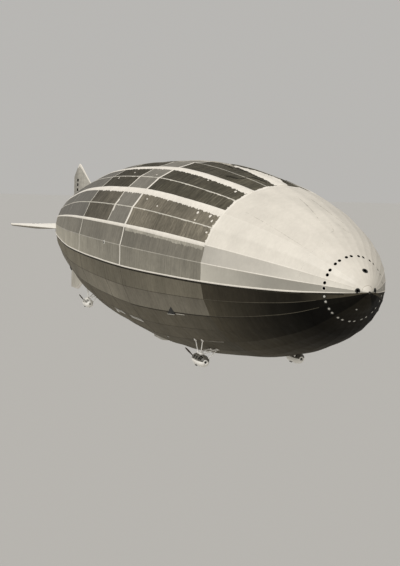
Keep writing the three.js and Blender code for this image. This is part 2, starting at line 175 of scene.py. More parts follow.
# columns: colour, metalness, roughness, grime
metalLooks = {
    "castIron": ((0.07, 0.066, 0.058), 0.6, 0.5, 0.2),
    "carPaint": ((0.95, 0.92, 0.85), 0.0, 0.38, 0.05),
    "strutPaint": ((0.95, 0.92, 0.86), 0.0, 0.45, 0.08),
    "propellerWood": ((0.055, 0.04, 0.028), 0.0, 0.35, 0.25),
    "hubMetal": ((0.3, 0.28, 0.25), 0.8, 0.4, 0.2),
    "cabinPaint": ((0.6, 0.57, 0.5), 0.0, 0.42, 0.12),
    # near black: painted shade on the inner faces of the hull cover, the cars and every cut, and on the
    # hatches and port rims
    "insideShade": ((0.02, 0.019, 0.016), 0.0, 0.8, 0.2),
    "brightTrim": ((0.72, 0.69, 0.62), 0.2, 0.4, 0.2),
    "lidPaint": ((0.56, 0.54, 0.48), 0.0, 0.5, 0.15),
    "whiteLid": ((0.86, 0.84, 0.78), 0.0, 0.5, 0.05),
    "carCowl": ((0.1, 0.092, 0.075), 0.0, 0.45, 0.2),
    "louvreFrame": ((0.24, 0.225, 0.19), 0.1, 0.4, 0.15),
    "paneGlass": ((0.1, 0.095, 0.08), 0.0, 0.12, 0.05),
}
# columns: the noise's scale, stretch, detail and roughness, and the two values between which it counts
noises = {
    "mottle": (1.9, (1, 1, 1), 4.0, 0.55, (0.3, 0.7)),
    "grain": (13.0, (1.3, 1, 1), 5.0, 0.65, (0.3, 0.7)),
    "streak": (1.0, (18.0, 1.6, 1.6), 4.0, 0.62, (0.32, 0.68)),
    "seam": (4.5, (1, 1, 1), 2.0, 0.55, (0.42, 0.62)),
    "clothWear": (5.0, (2, 1, 1), 4.0, 0.55, (0.3, 0.7)),
    "weave": (260.0, (1, 1, 1), 2.0, 0.55, (0.3, 0.7)),
    "grime": (9.0, (1, 1, 1), 5.0, 0.55, (0.3, 0.7)),
    "metalWear": (22.0, (1, 1, 1), 3.0, 0.55, (0.3, 0.7)),
    "casting": (60.0, (1, 1, 1), 3.0, 0.55, (0.3, 0.7)),
}
bumps = {"grain": (0.25, 0.006), "weave": (0.15, 0.0006), "casting": (0.12, 0.001)}      # strength, distance
# least and most change of the roughness
wearSpread = {"clothWear": (-0.1, 0.12), "metalWear": (-0.08, 0.12)}
seamWidth = 0.16
grimeLight = 0.4        # how far grime lightens, as a share of how far it darkens
madeFinishes = {}


def newFinish(name):
    finish = bpy.data.materials.new(name)
    finish.use_nodes = True
    madeFinishes[name] = finish
    return finish.node_tree, finish.node_tree.nodes["Principled BSDF"]


def link(tree, fromSocket, toSocket):
    tree.links.new(fromSocket, toSocket)


def noiseOf(tree, kind):
    # a finish has one noise of each kind
    if kind in tree.nodes:
        return tree.nodes[kind].outputs["Fac"]
    scale, stretch, detail, roughness = noises[kind][:4]
    coords = tree.nodes.new("ShaderNodeTexCoord")
    mapping = tree.nodes.new("ShaderNodeMapping")
    mapping.inputs["Scale"].default_value = stretch
    noise = tree.nodes.new("ShaderNodeTexNoise")
    noise.name = kind
    for socket, value in (("Scale", scale), ("Detail", detail), ("Roughness", roughness)):
        noise.inputs[socket].default_value = value
    link(tree, coords.outputs["Object"], mapping.inputs["Vector"])
    link(tree, mapping.outputs["Vector"], noise.inputs["Vector"])
    return noise.outputs["Fac"]


def rangeOf(tree, value, low, high, toLow, toHigh):
    node = tree.nodes.new("ShaderNodeMapRange")
    for socket, number in (("From Min", low), ("From Max", high), ("To Min", toLow), ("To Max", toHigh)):
        node.inputs[socket].default_value = number
    link(tree, value, node.inputs["Value"])
    return node.outputs["Result"]


def uneven(tree, kind, low, high):
    return rangeOf(tree, noiseOf(tree, kind), *noises[kind][4], low, high)


def mathOf(tree, operation, a, b):
    node = tree.nodes.new("ShaderNodeMath")
    node.operation = operation
    for socket, value in zip(node.inputs, (a, b)):
        if isinstance(value, (int, float)):
            socket.default_value = value
        else:
            link(tree, value, socket)
    return node.outputs[0]


def product(tree, *factors):
    result = factors[0]
    for factor in factors[1:]:
        result = mathOf(tree, "MULTIPLY", result, factor)
    return result


def tinted(tree, colour, factor):
    # a colour times a grey factor
    node = tree.nodes.new("ShaderNodeMix")
    node.data_type = "RGBA"
    node.blend_type = "MULTIPLY"
    node.inputs[0].default_value = 1.0
    node.inputs[6].default_value = (*colour, 1)
    link(tree, factor, node.inputs[7])
    return node.outputs[2]


def bumpOf(tree, kind, under=None):
    node = tree.nodes.new("ShaderNodeBump")
    node.inputs["Strength"].default_value, node.inputs["Distance"].default_value = bumps[kind]
    link(tree, noiseOf(tree, kind), node.inputs["Height"])
    if under is not None:
        link(tree, under, node.inputs["Normal"])
    return node.outputs["Normal"]


def alongShip(tree):
    coords = tree.nodes.new("ShaderNodeTexCoord")
    split = tree.nodes.new("ShaderNodeSeparateXYZ")
    link(tree, coords.outputs["Object"], split.inputs[0])
    return split.outputs["X"]


def seamLines(tree, pitch):
    # 1 on thin lines across the ship, a pitch apart, 0 between them
    steps = mathOf(tree, "DIVIDE", alongShip(tree), pitch * modelScale)
    phase = mathOf(tree, "PINGPONG", steps, 0.5)
    return rangeOf(tree, phase, 0.0, seamWidth / pitch, 1.0, 0.0)


def fadeAlong(tree, rows):
    # a number that changes with the station, between the rows
    place = alongShip(tree)
    value = rows[0][1]
    for (s0, v0), (s1, v1) in zip(rows, rows[1:]):
        value = mathOf(tree, "ADD", value, rangeOf(tree, place, stationX(s0), stationX(s1), 0.0, v1 - v0))
    return value


def finishSurface(tree, shader, colour, shade, wear, rough, normal):
    # what cloth and metal share: a shaded colour, an uneven roughness and a bump
    low, high = wearSpread[wear]
    link(tree, tinted(tree, colour, shade), shader.inputs["Base Color"])
    link(tree, uneven(tree, wear, rough + low, rough + high), shader.inputs["Roughness"])
    link(tree, normal, shader.inputs["Normal"])


def clothFinish(name, look):
    # doped cloth: mottled, finely streaked across the ship, with sewn lines that come and go, and a weave
    tree, shader = newFinish(name)
    factors = [uneven(tree, kind, 1 - look[kind], 1 + look[kind]) for kind in ("mottle", "streak", "grain")]
    lines = product(tree, seamLines(tree, look["seamPitch"]), uneven(tree, "seam", 0.0, look["seam"]))
    shade = product(tree, *factors, mathOf(tree, "ADD", lines, 1.0))
    if look["fade"]:
        shade = product(tree, shade, fadeAlong(tree, look["fade"]))
    weave = bumpOf(tree, "weave", bumpOf(tree, "grain"))
    finishSurface(tree, shader, look["colour"], shade, "clothWear", look["rough"], weave)
    shader.inputs["Specular IOR Level"].default_value = look["gloss"]


def metalFinish(name, colour, metal, rough, grime):
    tree, shader = newFinish(name)
    shade = uneven(tree, "grime", 1 - grime, 1 + grime * grimeLight)
    finishSurface(tree, shader, colour, shade, "metalWear", rough, bumpOf(tree, "casting"))
    shader.inputs["Metallic"].default_value = metal


for finishName, look in clothLooks.items():
    clothFinish(finishName, look)
for finishName, look in metalLooks.items():
    metalFinish(finishName, *look)
print("finishes made:", len(madeFinishes))


def newObject(name, mesh):
    made = bpy.data.objects.new(name, mesh)
    bpy.context.scene.collection.objects.link(made)
    return made


def faceOut(mesh):
    shell = bmesh.new()
    shell.from_mesh(mesh)
    bmesh.ops.recalc_face_normals(shell, faces=shell.faces)
    shell.to_mesh(mesh)
    shell.free()


# One mesh is gathered from rings of points, bars and blocks, then built and put on its body
class PieceMaker:
    def __init__(self):
        self.points, self.faces, self.finishes = [], [], []
        self.count = 0

    def add(self, points, faces, finish=0):
        self.points.append(np.asarray(points, float).reshape(-1, 3))
        self.faces.extend([[i + self.count for i in face] for face in faces])
        self.finishes.extend([finish] * len(faces) if isinstance(finish, int) else list(finish))
        self.count += len(self.points[-1])

    def rings(self, rings, finish=0, closed=False):
        # each ring of points closes on itself, and closed joins the last ring to the first
        rings = np.asarray(rings, float)
        rows, columns = rings.shape[:2]
        faces = []
        for i in range(rows if closed else rows - 1):
            a, b = i * columns, (i + 1) % rows * columns
            for j in range(columns):
                k = (j + 1) % columns
                faces.append([a + j, a + k, b + k, b + j])
        if not closed:
            faces.append(list(range(columns))[::-1])
            faces.append([(rows - 1) * columns + j for j in range(columns)])
        self.add(rings, faces, finish)

    def bar(self, start, end, radius, sides, finish=0, endRadius=None):
        start, end = np.asarray(start, float), np.asarray(end, float)
        along = unit(end - start)
        side = unit(np.cross(along, [0, 0, 1] if abs(along[2]) < 0.9 else [1, 0, 0]))
        up = np.cross(side, along)
        turns = evenTurns(sides)
        ring = np.outer(np.cos(turns), side) + np.outer(np.sin(turns), up)
        radii = (radius, radius if endRadius is None else endRadius)
        self.rings([start + ring * radii[0] * modelScale, end + ring * radii[1] * modelScale], finish)

    def rod(self, line, radius, sides=8, finish=0, closed=False):
        # bars from each point of a line to the next
        line = list(line)
        for start, end in zip(line, line[1:] + line[:1] if closed else line[1:]):
            self.bar(start, end, radius, sides, finish)

    def block(self, low, high, chamfer, finish=0):
        # a box with its edges taken off, between two corners given as model points
        low, high = np.minimum(low, high), np.maximum(low, high)
        c = chamfer * modelScale
        rings = []
        for z, inset in ((low[2], c), (low[2] + c, 0), (high[2] - c, 0), (high[2], c)):
            x0, y0, x1, y1 = low[0] + inset, low[1] + inset, high[0] - inset, high[1] - inset
            ring = [(x0 + c, y0), (x1 - c, y0), (x1, y0 + c), (x1, y1 - c)]
            ring += [(x1 - c, y1), (x0 + c, y1), (x0, y1 - c), (x0, y0 + c)]
            rings.append([(x, y, z) for x, y in ring])
        self.rings(rings, finish)

    def turned(self, outline, centre, sides, closed=False):
        # outline is [station, radius] from fore to aft, turned about a line along the ship
        turns = evenTurns(sides)
        rings = []
        for station, radius in outline:
            ring = np.zeros((sides, 3))
            ring[:, 0] = stationX(station)
            ring[:, 1] = (centre[0] + radius * np.sin(turns)) * modelScale
            ring[:, 2] = (centre[1] + radius * np.cos(turns)) * modelScale
            rings.append(ring)
        self.rings(rings, closed=closed)

    def mesh(self, name):
        mesh = bpy.data.meshes.new(name)
        mesh.from_pydata(np.concatenate(self.points).tolist(), [], self.faces)
        return mesh

    def build(self, name, finishes, slot, replaces=(), body="hull", crease=30):
        mesh = self.mesh(name)
        for finish in finishes:
            mesh.materials.append(madeFinishes[finish])
        mesh.polygons.foreach_set("material_index", np.array(self.finishes, np.int32))
        mesh.validate()
        faceOut(mesh)
        mesh.shade_smooth()
        mesh.set_sharp_from_angle(angle=math.radians(crease))
        piece = newObject(name, mesh)
        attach(piece, body)
        if replaces:
            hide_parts(*replaces)
        return piece


# The hull's lines come from the frame: the second ridge has no holes in it
hullNodes = ["nose_cap", "nose_cover"] + [f"hull_bay_{i}" for i in range(1, 8)] + ["tail_cone"]
ridgeRead = {"angle": 2 * ridgeStep, "within": 0.05, "leastRadius": 0.3}


def readHullLines():
    rows = {}
    for node in hullNodes:
        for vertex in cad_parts[node].data.vertices:
            x, y, z = vertex.co
            radius = math.hypot(y, z) / modelScale
            away = abs(math.degrees(math.atan2(-y, z)) - ridgeRead["angle"])
            if radius > ridgeRead["leastRadius"] and away < ridgeRead["within"]:
                station = round(originStation - x / modelScale, 1)
                rows[station] = max(rows.get(station, 0), radius)
    rows[stationsOf("tail_cone")[1]] = 0.0
    stations = sorted(rows)
    return np.array(stations), np.array([rows[s] for s in stations])


def smoothSlopes(xs, ys):
    # slopes for a curve through the points that never overshoots them
    step = np.diff(xs)
    rise = np.diff(ys) / step
    slopes = np.zeros(len(xs))
    slopes[0], slopes[-1] = rise[0], rise[-1]
    for i in range(1, len(xs) - 1):
        if rise[i - 1] * rise[i] > 0:
            before, after = 2 * step[i] + step[i - 1], step[i] + 2 * step[i - 1]
            slopes[i] = (before + after) / (before / rise[i - 1] + after / rise[i])
    return slopes


def smoothCurve(x, xs, ys, slopes):
    x = np.clip(np.asarray(x, float), xs[0], xs[-1])
    i = np.clip(np.searchsorted(xs, x, side="right") - 1, 0, len(xs) - 2)
    step = xs[i + 1] - xs[i]
    t = (x - xs[i]) / step
    return ((2 * t**3 - 3 * t**2 + 1) * ys[i] + (t**3 - 2 * t**2 + t) * step * slopes[i]
            + (3 * t**2 - 2 * t**3) * ys[i + 1] + (t**3 - t**2) * step * slopes[i + 1])


lineStations, lineRadii = readHullLines()
lineSlopes = smoothSlopes(lineStations, lineRadii)
print("hull lines read:", len(lineStations), "rings")

cover = {
    "skin": 0.1,            # thickness of the shell
    "sag": 0.055,           # how far the cover draws in midway between two ridges, at the widest frame
    "widestRadius": 20,
    "rowStep": 0.5, "fewestRows": 12,
    "facetColumns": 8,
    "innerRings": 7,
    "stillBeside": 0.75,    # no wrinkles this near a ridge, where the tapes and bands lie
    "stillEnds": 1.2,       # nor at the ends of a bay, over this length
    "tailCut": 0.02,        # the tail cone's cover stops this short of its tip
    "slopeReach": 0.2,      # the hull's slope is read this far either side of a station
}


def hullRadius(station):
    return smoothCurve(station, lineStations, lineRadii, lineSlopes)


def facetDraw(angle):
    # a flat facet's radius as a share of its ridges', and how far across the facet the angle is
    share = np.mod(angle, ridgeStep) / ridgeStep
    half = math.radians(ridgeStep / 2)
    return math.cos(half) / np.cos((share - 0.5) * 2 * half), share


def hullSkin(station, angle, lift=0.0):
    # model points on the cover, or a lift above it
    arrays = (np.asarray(value, float) for value in (station, angle, lift))
    station, angle, lift = np.broadcast_arrays(*arrays)
    ridge = hullRadius(station)
    draw, share = facetDraw(angle)
    radius = ridge * draw - cover["sag"] * 4 * share * (1 - share) * ridge / cover["widestRadius"]
    beside = cover["slopeReach"]
    slope = (hullRadius(station + beside) - hullRadius(station - beside)) / (2 * beside)
    length = np.sqrt(1 + slope**2)
    out = (radius + lift / length) * modelScale
    turn = np.radians(angle)
    return np.stack([stationX(station - lift * slope / length), -out * np.sin(turn), out * np.cos(turn)], -1)


# Slow waves, the same each run, for wrinkles and ragged edges
waveLength = 1024


class WaveTable:
    def __init__(self, key):
        self.values = np.random.default_rng(seed + key).uniform(-1, 1, waveLength)

    def at(self, place):
        place = np.asarray(place, float)
        i = np.floor(place).astype(int)
        t = place - i
        t = t * t * (3 - 2 * t)
        return self.values[i % waveLength] * (1 - t) + self.values[(i + 1) % waveLength] * t


waves = [WaveTable(key) for key in range(8)]

# Folds of loose cover near the crest, each a line of stations and angles, with its height and half width
crestFolds = [
    ([(34, 7.1), (39.7, 8.1), (40.0, 15.9), (45.0, 18.1), (50, 18.6)], 0.2, 0.45),
    ([(47.5, 16.0), (44, 14.4), (41.6, 12.4)], 0.38, 0.9),
    ([(46, 8), (52, 6), (58, 4.4), (63, 4.0)], 0.3, 0.6),
    ([(52, 14), (59, 12.5), (66, 10)], 0.16, 0.5),
    ([(33, -4), (38, -6), (44, -9)], 0.24, 0.5),
    ([(42, -6), (50, -3), (57, -2)], 0.28, 0.6),
    ([(55, -10), (60, -12.5), (65, -14)], 0.24, 0.5),
    ([(36, -17), (43, -14), (50, -13)], 0.2, 0.5),
    ([(84, 5), (91, 4), (98, 2)], 0.16, 0.5),
    ([(86, -8), (93, -5), (101, -4)], 0.16, 0.5),
]
wrinkleLook = {
    "darkHeight": 0.028, "paleHeight": 0.008, "slowShare": 0.9, "slant": 0.6,
    # pitch of two fine and two slow waves, and how far each facet's wave is moved on from the one before
    "fine": ((0.75, 37), (0.36, 61)), "slow": ((3.1, 17), (6.3, 5)), "slantShift": 3.7,
}


def nearLine(station, angle, line):
    # full-size metres from each place on the cover to a line of stations and angles, and how far along it
    signed = fromCrown(angle)
    radius = hullRadius(station)
    best, share = np.full(np.shape(station), 1e6), np.zeros(np.shape(station))
    for i, ((s0, a0), (s1, a1)) in enumerate(zip(line, line[1:])):
        dx, dy = s1 - s0, math.radians(a1 - a0) * radius
        px, py = station - s0, np.radians(signed - a0) * radius
        t = np.clip((px * dx + py * dy) / (dx**2 + dy**2), 0, 1)
        away = np.hypot(px - t * dx, py - t * dy)
        share = np.where(away < best, (i + t) / (len(line) - 1), share)
        best = np.minimum(best, away)
    return best, share


def wrinkles(station, angle, first, last, zoneDark):
    look, still = wrinkleLook, cover["stillBeside"]
    share = np.mod(angle, ridgeStep) / ridgeStep
    facet = np.floor(angle / ridgeStep)
    fromRidge = np.minimum(share, 1 - share) * np.radians(ridgeStep) * hullRadius(station)
    across = np.clip((fromRidge - still) / still, 0, 1)
    ends = np.clip(np.minimum(station - first, last - station) / cover["stillEnds"], 0, 1)
    slant = look["slant"] * waves[4].at(facet * look["slantShift"]) * share
    fineAt, finerAt = (station / pitch + facet * shift for pitch, shift in look["fine"])
    slowAt, slowerAt = (station / pitch + facet * shift for pitch, shift in look["slow"])
    fine = waves[0].at(fineAt + slant) + 0.5 * waves[1].at(finerAt)
    slow = waves[2].at(slowAt) + waves[3].at(slowerAt + share * 2)
    size = np.where(zoneDark, look["darkHeight"], look["paleHeight"])
    lift = (fine * size + slow * size * look["slowShare"]) * across * ends
    for line, height, half in crestFolds:
        away, along = nearLine(station, angle, line)
        swell = np.sqrt(np.clip(4 * along * (1 - along), 0, 1)) * np.exp(-(away / half) ** 2)
        lift = lift + height * swell * ends * across
    return lift


# How the cover's zones are finished, by bay: two zones of crown, two of side and four lower ones. On the nose
# all eight are copies of one cream cloth in painted light and shade; behind it the four lower ones are
# painted shade.
zoneEdges = (48, 72, 84, 96, 108, 120, 144)
crownEdge = zoneEdges[1]
noseFinishes = (
    "creamCrown", "creamShoulder", "creamSide", "creamLow", "noseFlank", "noseUnder", "noseDeep", "noseKeel",
)
sideFinishes = ("sidePanel", "sideLow", "lowerSide", "lowerFlank", "lowerDeep", "lowerKeel")
bayFinishes = {
    "nose_cap": noseFinishes,
    "nose_cover": noseFinishes,
    "hull_bay_1": ("darkPanel", "duskPanel", *sideFinishes),
    "hull_bay_2": ("greyPanel", "greyPanel", *sideFinishes),
    "hull_bay_3": ("darkPanel", "duskPanel", *sideFinishes),
    **{f"hull_bay_{i}": ("aftCrown", "aftCrown", *sideFinishes) for i in range(4, 8)},
    "tail_cone": ("aftCrown", "aftCrown", *sideFinishes),
}
insideZone = len(zoneEdges) + 1
coverSlots = {"nose_cap": "bow_cover", "nose_cover": "bow_cover", "tail_cone": "tail_cover"}


def zonesAt(angles):
    return np.searchsorted(zoneEdges, np.abs(fromCrown(angles))).tolist()


def gridFaces(start, rows, columns, inward=False):
    # the faces between rings of points, numbered from start
    faces = []
    for a in range(start, start + (rows - 1) * columns, columns):
        b = a + columns
        for j in range(columns):
            k = (j + 1) % columns
            faces.append([a + j, a + k, b + k, b + j] if inward else [a + j, b + j, b + k, a + k])
    return faces


def hullBay(node, slot):
    first, last = stationsOf(node)
    last -= cover["tailCut"] if node == "tail_cone" else 0
    rows = max(cover["fewestRows"], int((last - first) / cover["rowStep"])) + 1
    columns = int(360 / ridgeStep) * cover["facetColumns"]
    innerRows = cover["innerRings"]
    angles = np.arange(columns) * 360 / columns
    s, a = np.meshgrid(np.linspace(first, last, rows), angles, indexing="ij")
    dark = (np.abs(fromCrown(a)) < crownEdge) & (bayFinishes[node][0] == "darkPanel")
    outer = hullSkin(s, a, wrinkles(s, a, first, last, dark))
    s, a = np.meshgrid(np.linspace(first, last, innerRows), angles, indexing="ij")
    inner = hullSkin(s, a, -np.minimum(cover["skin"], hullRadius(s) * 0.5))
    start = rows * columns
    faces = gridFaces(0, rows, columns) + gridFaces(start, innerRows, columns, True)
    finishes = (rows - 1) * zonesAt(angles + 180 / columns) + [insideZone] * (innerRows + 1) * columns
    lastOuter, lastInner = (rows - 1) * columns, start + (innerRows - 1) * columns
    for j in range(columns):
        k = (j + 1) % columns
        faces.append([j, k, start + k, start + j])
        faces.append([lastOuter + j, lastInner + j, lastInner + k, lastOuter + k])
    maker = PieceMaker()
    maker.add(np.concatenate([outer.reshape(-1, 3), inner.reshape(-1, 3)]), faces, finishes)
    piece = maker.build(f"{node}_cover", [*bayFinishes[node], "insideShade"], slot, [node], crease=180)
    keepRidgesSharp(piece.data, columns, start, node.startswith("nose"))


def keepRidgesSharp(mesh, columns, outerCount, smoothCrown):
    # sharp along each ridge, and round both ends so that the cover's shading runs on from bay to bay
    ends = np.zeros(len(mesh.edges) * 2, np.int32)
    mesh.edges.foreach_get("vertices", ends)
    ends = ends.reshape(-1, 2)
    column, row = ends % columns, ends // columns
    onRidge = (column[:, 0] == column[:, 1]) & (column[:, 0] % cover["facetColumns"] == 0)
    if smoothCrown:
        onRidge &= np.abs(fromCrown(column[:, 0] * 360 / columns)) > crownEdge - 1
    atEnd = (row[:, 0] == row[:, 1]) & ((row[:, 0] == 0) | (row[:, 0] == outerCount // columns - 1))
    sharp = (onRidge | atEnd) & (ends < outerCount).all(1)
    flags = mesh.attributes.get("sharp_edge") or mesh.attributes.new("sharp_edge", "BOOLEAN", "EDGE")
    flags.data.foreach_set("value", sharp)


for node in hullNodes:
    hullBay(node, coverSlots.get(node, "hull_cover"))
print("hull cover made")


# Cream bands, laced edges and thin tapes that lie on the cover, worked out along the ridges and rings
bands = {
    # columns: station, half width of the broad bands, of the bands at the edge of the crown
    "widths": [
        (30.7, 0.69, 0.36), (45, 0.69, 0.46), (66, 0.68, 0.34), (97, 0.66, 0.32),
        (120, 0.4, 0.26), (158, 0.25, 0.2), (207, 0.12, 0.1),
    ],
    "first": 30.7, "last": 206.5, "rowStep": 0.28,
    # the loose flap on the crest: station, reach to port, reach to starboard
    "flap": [
        (30.7, 0.95, 1.25), (33, 1.3, 1.25), (37, 1.8, 1.1), (42, 2.1, 0.8),
        (46, 1.6, 0.45), (49, 0.95, 0.5), (54, 0.6, 0.5),
    ],
    "flapLast": 54, "flapColumns": 11, "flapLift": 0.05, "flapEdge": 0.04, "flapSink": -0.12,
    "flapBays": -0.4,       # how far its ragged edge draws back, as a share of a tooth
    "foldsTo": 66.7,        # the last station of the first dark bay, whose folds lift what lies on them
    "tooth": 0.3, "skirtTooth": 0.22, "thinTooth": 0.09, "toothPitch": 0.42, "slowPitch": 2.3,
    "toothLast": 100,
    # the ragged aft edge of the nose cover
    "edgeHalf": 0.3, "edgeTooth": 0.3, "toothShare": 0.6, "edgePitch": 1.1, "edgeStep": 0.4, "edgeLift": 0.02,
    # stations, and the share of a tapered width that is left there
    "noseTaper": ((0.7, 9.0), (0.2, 1.0)),
}
tapeSection = ((-1.0, 0.004), (-0.72, 1.0), (0.0, 1.0), (0.72, 1.0), (1.0, 0.004))
tapeSink = -0.05
strips = {
    "step": 0.35, "evenShare": 0.75, "raggedShare": 0.45, "raggedPitch": 0.4, "raggedShift": 50,
    "endShare": 0.06, "endCurve": 0.4, "overFolds": 0.03,
}


def foldsUnder(station, angle):
    # how high the loose cover of the first dark bay stands at a place, for what lies on it
    first, last = bands["first"], bands["foldsTo"]
    inBay = (station > first) & (station < last)
    return np.where(inBay, wrinkles(station, np.mod(angle, 360), first, last, True), 0.0)


def alongRidge(maker, ridge, first, last, highHalf, lowHalf, lift, finish, rowStep):
    # the half widths are functions of the station: above the ridge, then below it
    stations = np.linspace(first, last, max(2, int((last - first) / rowStep) + 1))
    degrees = towardsKeel(ridge) * 180 / math.pi / hullRadius(stations)
    columns = []
    for share, height in tapeSection:
        reach = (lowHalf(stations) if share > 0 else highHalf(stations)) * share
        columns.append(hullSkin(stations, ridge + reach * degrees, lift * height))
    for half in (lowHalf(stations), -highHalf(stations)):
        columns.append(hullSkin(stations, ridge + half * degrees, tapeSink))
    maker.rings(np.stack(columns, 1), finish)


def alongRing(maker, station, half, fromAngle, toAngle, lift, finish):
    step = ridgeStep / cover["facetColumns"]
    whole = toAngle - fromAngle >= 360
    angles = np.arange(fromAngle, toAngle + (0 if whole else step / 2), step)
    columns = [hullSkin(station + share * half, angles, lift * height) for share, height in tapeSection]
    columns += [hullSkin(station + half, angles, tapeSink), hullSkin(station - half, angles, tapeSink)]
    maker.rings(np.stack(columns, 1), finish, closed=whole)


def alongPath(maker, path, half, lift, key=None, under=None):
    # a strip that follows a line of stations and angles on the cover, ragged where it has a wave table
    path = np.asarray(path, float)
    steps = np.hypot(np.diff(path[:, 0]), np.radians(np.diff(path[:, 1])) * hullRadius(path[:-1, 0]))
    along = np.concatenate([[0], np.cumsum(steps)])
    marks = np.linspace(0, along[-1], max(4, int(along[-1] / strips["step"]) + 1))
    station, angle = np.interp(marks, along, path[:, 0]), np.interp(marks, along, path[:, 1])
    radius = hullRadius(station)
    ds, da = np.gradient(station, marks), np.gradient(np.radians(angle), marks) * radius
    wide = half
    if key is not None:
        wave = waves[key].at(marks / strips["raggedPitch"] + half * strips["raggedShift"])
        wide = half * (strips["evenShare"] + strips["raggedShare"] * wave)
    ends = strips["endShare"]
    taper = np.sin(np.pi * (ends + (1 - 2 * ends) * marks / marks[-1])) ** strips["endCurve"]
    columns = []
    for share, height in (*tapeSection, (1.0, None), (-1.0, None)):
        level = tapeSink if height is None else lift * height
        reach = share * wide * taper
        s, a = station - da * reach, angle + np.degrees(ds * reach / radius)
        if under is not None:
            level = level + under(s, a) + (bands["flapSink"] if height is None else strips["overFolds"])
        columns.append(hullSkin(s, a, level))
    maker.rings(np.stack(columns, 1))


def bandHalf(column):
    stations, halves = columnOf(bands["widths"], 0), columnOf(bands["widths"], column)
    return lambda station: np.interp(station, stations, halves)


def steady(value):
    return lambda station: np.full(np.shape(station), value)


def tapered(value):
    # a half width that narrows towards the tip of the nose
    return lambda station: value * np.interp(station, *bands["noseTaper"])


def laced(halfOf, key, size="tooth"):
    # the lower edge of a band, ragged with its lacing as far as the edge of the worn covers
    def reach(station):
        wave = waves[key].at(station / bands["toothPitch"]) + 0.5 * waves[7].at(station / bands["slowPitch"])
        tooth = np.clip(wave, 0, 1) * bands[size]
        return halfOf(station) + tooth * (np.asarray(station) < bands["toothLast"])
    return reach


fore, aft, rowStep = bands["first"], bands["last"], bands["rowStep"]
broadHalf, edgeHalf = bandHalf(1), bandHalf(2)
thinHalf, seamHalf, noseHalf = steady(0.1), steady(0.05), tapered(0.05)
# Bands, tapes and lines of painted shade along the ridges, by piece. Columns: ridges, degrees from them
# towards the keel, first and last station, half width above and below, height, number of the finish, row step
ridgeTapes = {
    "cream_bands": [
        ((24, 48, 312, 336), 0, fore, aft, broadHalf, laced(broadHalf, 6), 0.03, 0, rowStep),
        ((72, 288), 0, fore, aft, edgeHalf, edgeHalf, 0.03, 0, 0.6),
    ],
    "crest_band": [
        ((0,), 0, bands["flapLast"] - 1, aft, laced(broadHalf, 5), laced(broadHalf, 6), 0.03, 0, rowStep),
    ],
    "laced_skirts": [
        ((72, 288), 0.6, 31.2, 65.8, thinHalf, laced(steady(0.72), 7, "skirtTooth"), 0.012, 0, rowStep),
    ],
    "thin_tapes": [
        ((12, 84, 276, 348), 0, fore, aft, thinHalf, thinHalf, 0.03, 0, 0.9),
        ((36, 60, 300, 324), 0, fore, aft, thinHalf, laced(thinHalf, 7, "thinTooth"), 0.03, 1, 0.3),
    ],
    "edge_tapes": [
        # the cream tape on the 96° ridges is partly tape and partly the ridge's bright edge: painted
        # highlight
        ((96, 264), 0, 0.45, aft, tapered(0.17), tapered(0.102), 0.05, 0, 0.6),
        ((72, 84, 276, 288), 0, 0.9, fore, tapered(0.09), tapered(0.09), 0.02, 0, 0.6),
    ],
    "lower_seams": [
        (range(108, 253, 12), 0, fore, aft, seamHalf, seamHalf, 0.02, 0, 1.2),
        ((144, 216), 0, 33.5, 41.0, seamHalf, seamHalf, 0.035, 1, 1.2),     # pale above the fore cars
    ],
    "nose_seams": [((108, 120, 240, 252), 0, 5.6, fore, noseHalf, noseHalf, 0.024, 0, 0.4)],
    "edge_shade_lines": [
        # strips of painted shade just below the 96° ridges, and below the 120° ridges from station 12 to 66
        ((96, 264), 0.35, 2.0, aft, steady(-0.12), steady(0.36), 0.012, 0, 1.2),
        ((96, 264), 24.2, 12, 66, steady(0.0), steady(0.14), 0.012, 0, 1.2),
    ],
}
# The same round the rings. Columns: station, half width, from and to angle, height, number of the finish
aftRings = (130, 156, 182)
ringTapes = {
    "thin_tapes": [
        (79.9, 0.3, -72, 72, 0.025, 1), (104.0, 0.28, -96, 96, 0.025, 1),
        *((station, 0.07, -96, 96, 0.02, 0) for station in aftRings), (aft, 0.16, 0, 360, 0.045, 0),
    ],
    "edge_tapes": [
        (66.7, 0.5, -72, 72, 0.03, 0), (66.7, 0.27, 72, 96, 0.03, 0), (66.7, 0.27, -96, -72, 0.03, 0),
    ],
    "lower_seams": [(station, 0.07, 97.5, 262.5, 0.02, 0) for station in (66.7, 79.9, 104, *aftRings)],
}
# columns: the piece's slot, then its finishes
tapePieces = {
    "cream_bands": ("bow_cover", "bandTape"), "crest_band": ("bow_cover", "wornBand"),
    "laced_skirts": ("hull_cover", "skirtCloth"), "thin_tapes": ("hull_cover", "thinTape", "laceTape"),
    "edge_tapes": ("bow_cover", "bandTape"), "lower_seams": ("hull_cover", "lowerSeam", "thinTape"),
    "nose_seams": ("hull_cover", "noseSeam"), "edge_shade_lines": ("hull_cover", "creaseShade"),
}


def addTapes(*names):
    for name in names:
        maker = PieceMaker()
        for ridges, turn, *line in ridgeTapes[name]:
            for ridge in ridges:
                alongRidge(maker, ridge + towardsKeel(ridge) * turn, *line)
        for ring in ringTapes.get(name, ()):
            alongRing(maker, *ring)
        slot, *finishes = tapePieces[name]
        maker.build(name, finishes, slot, crease=40)


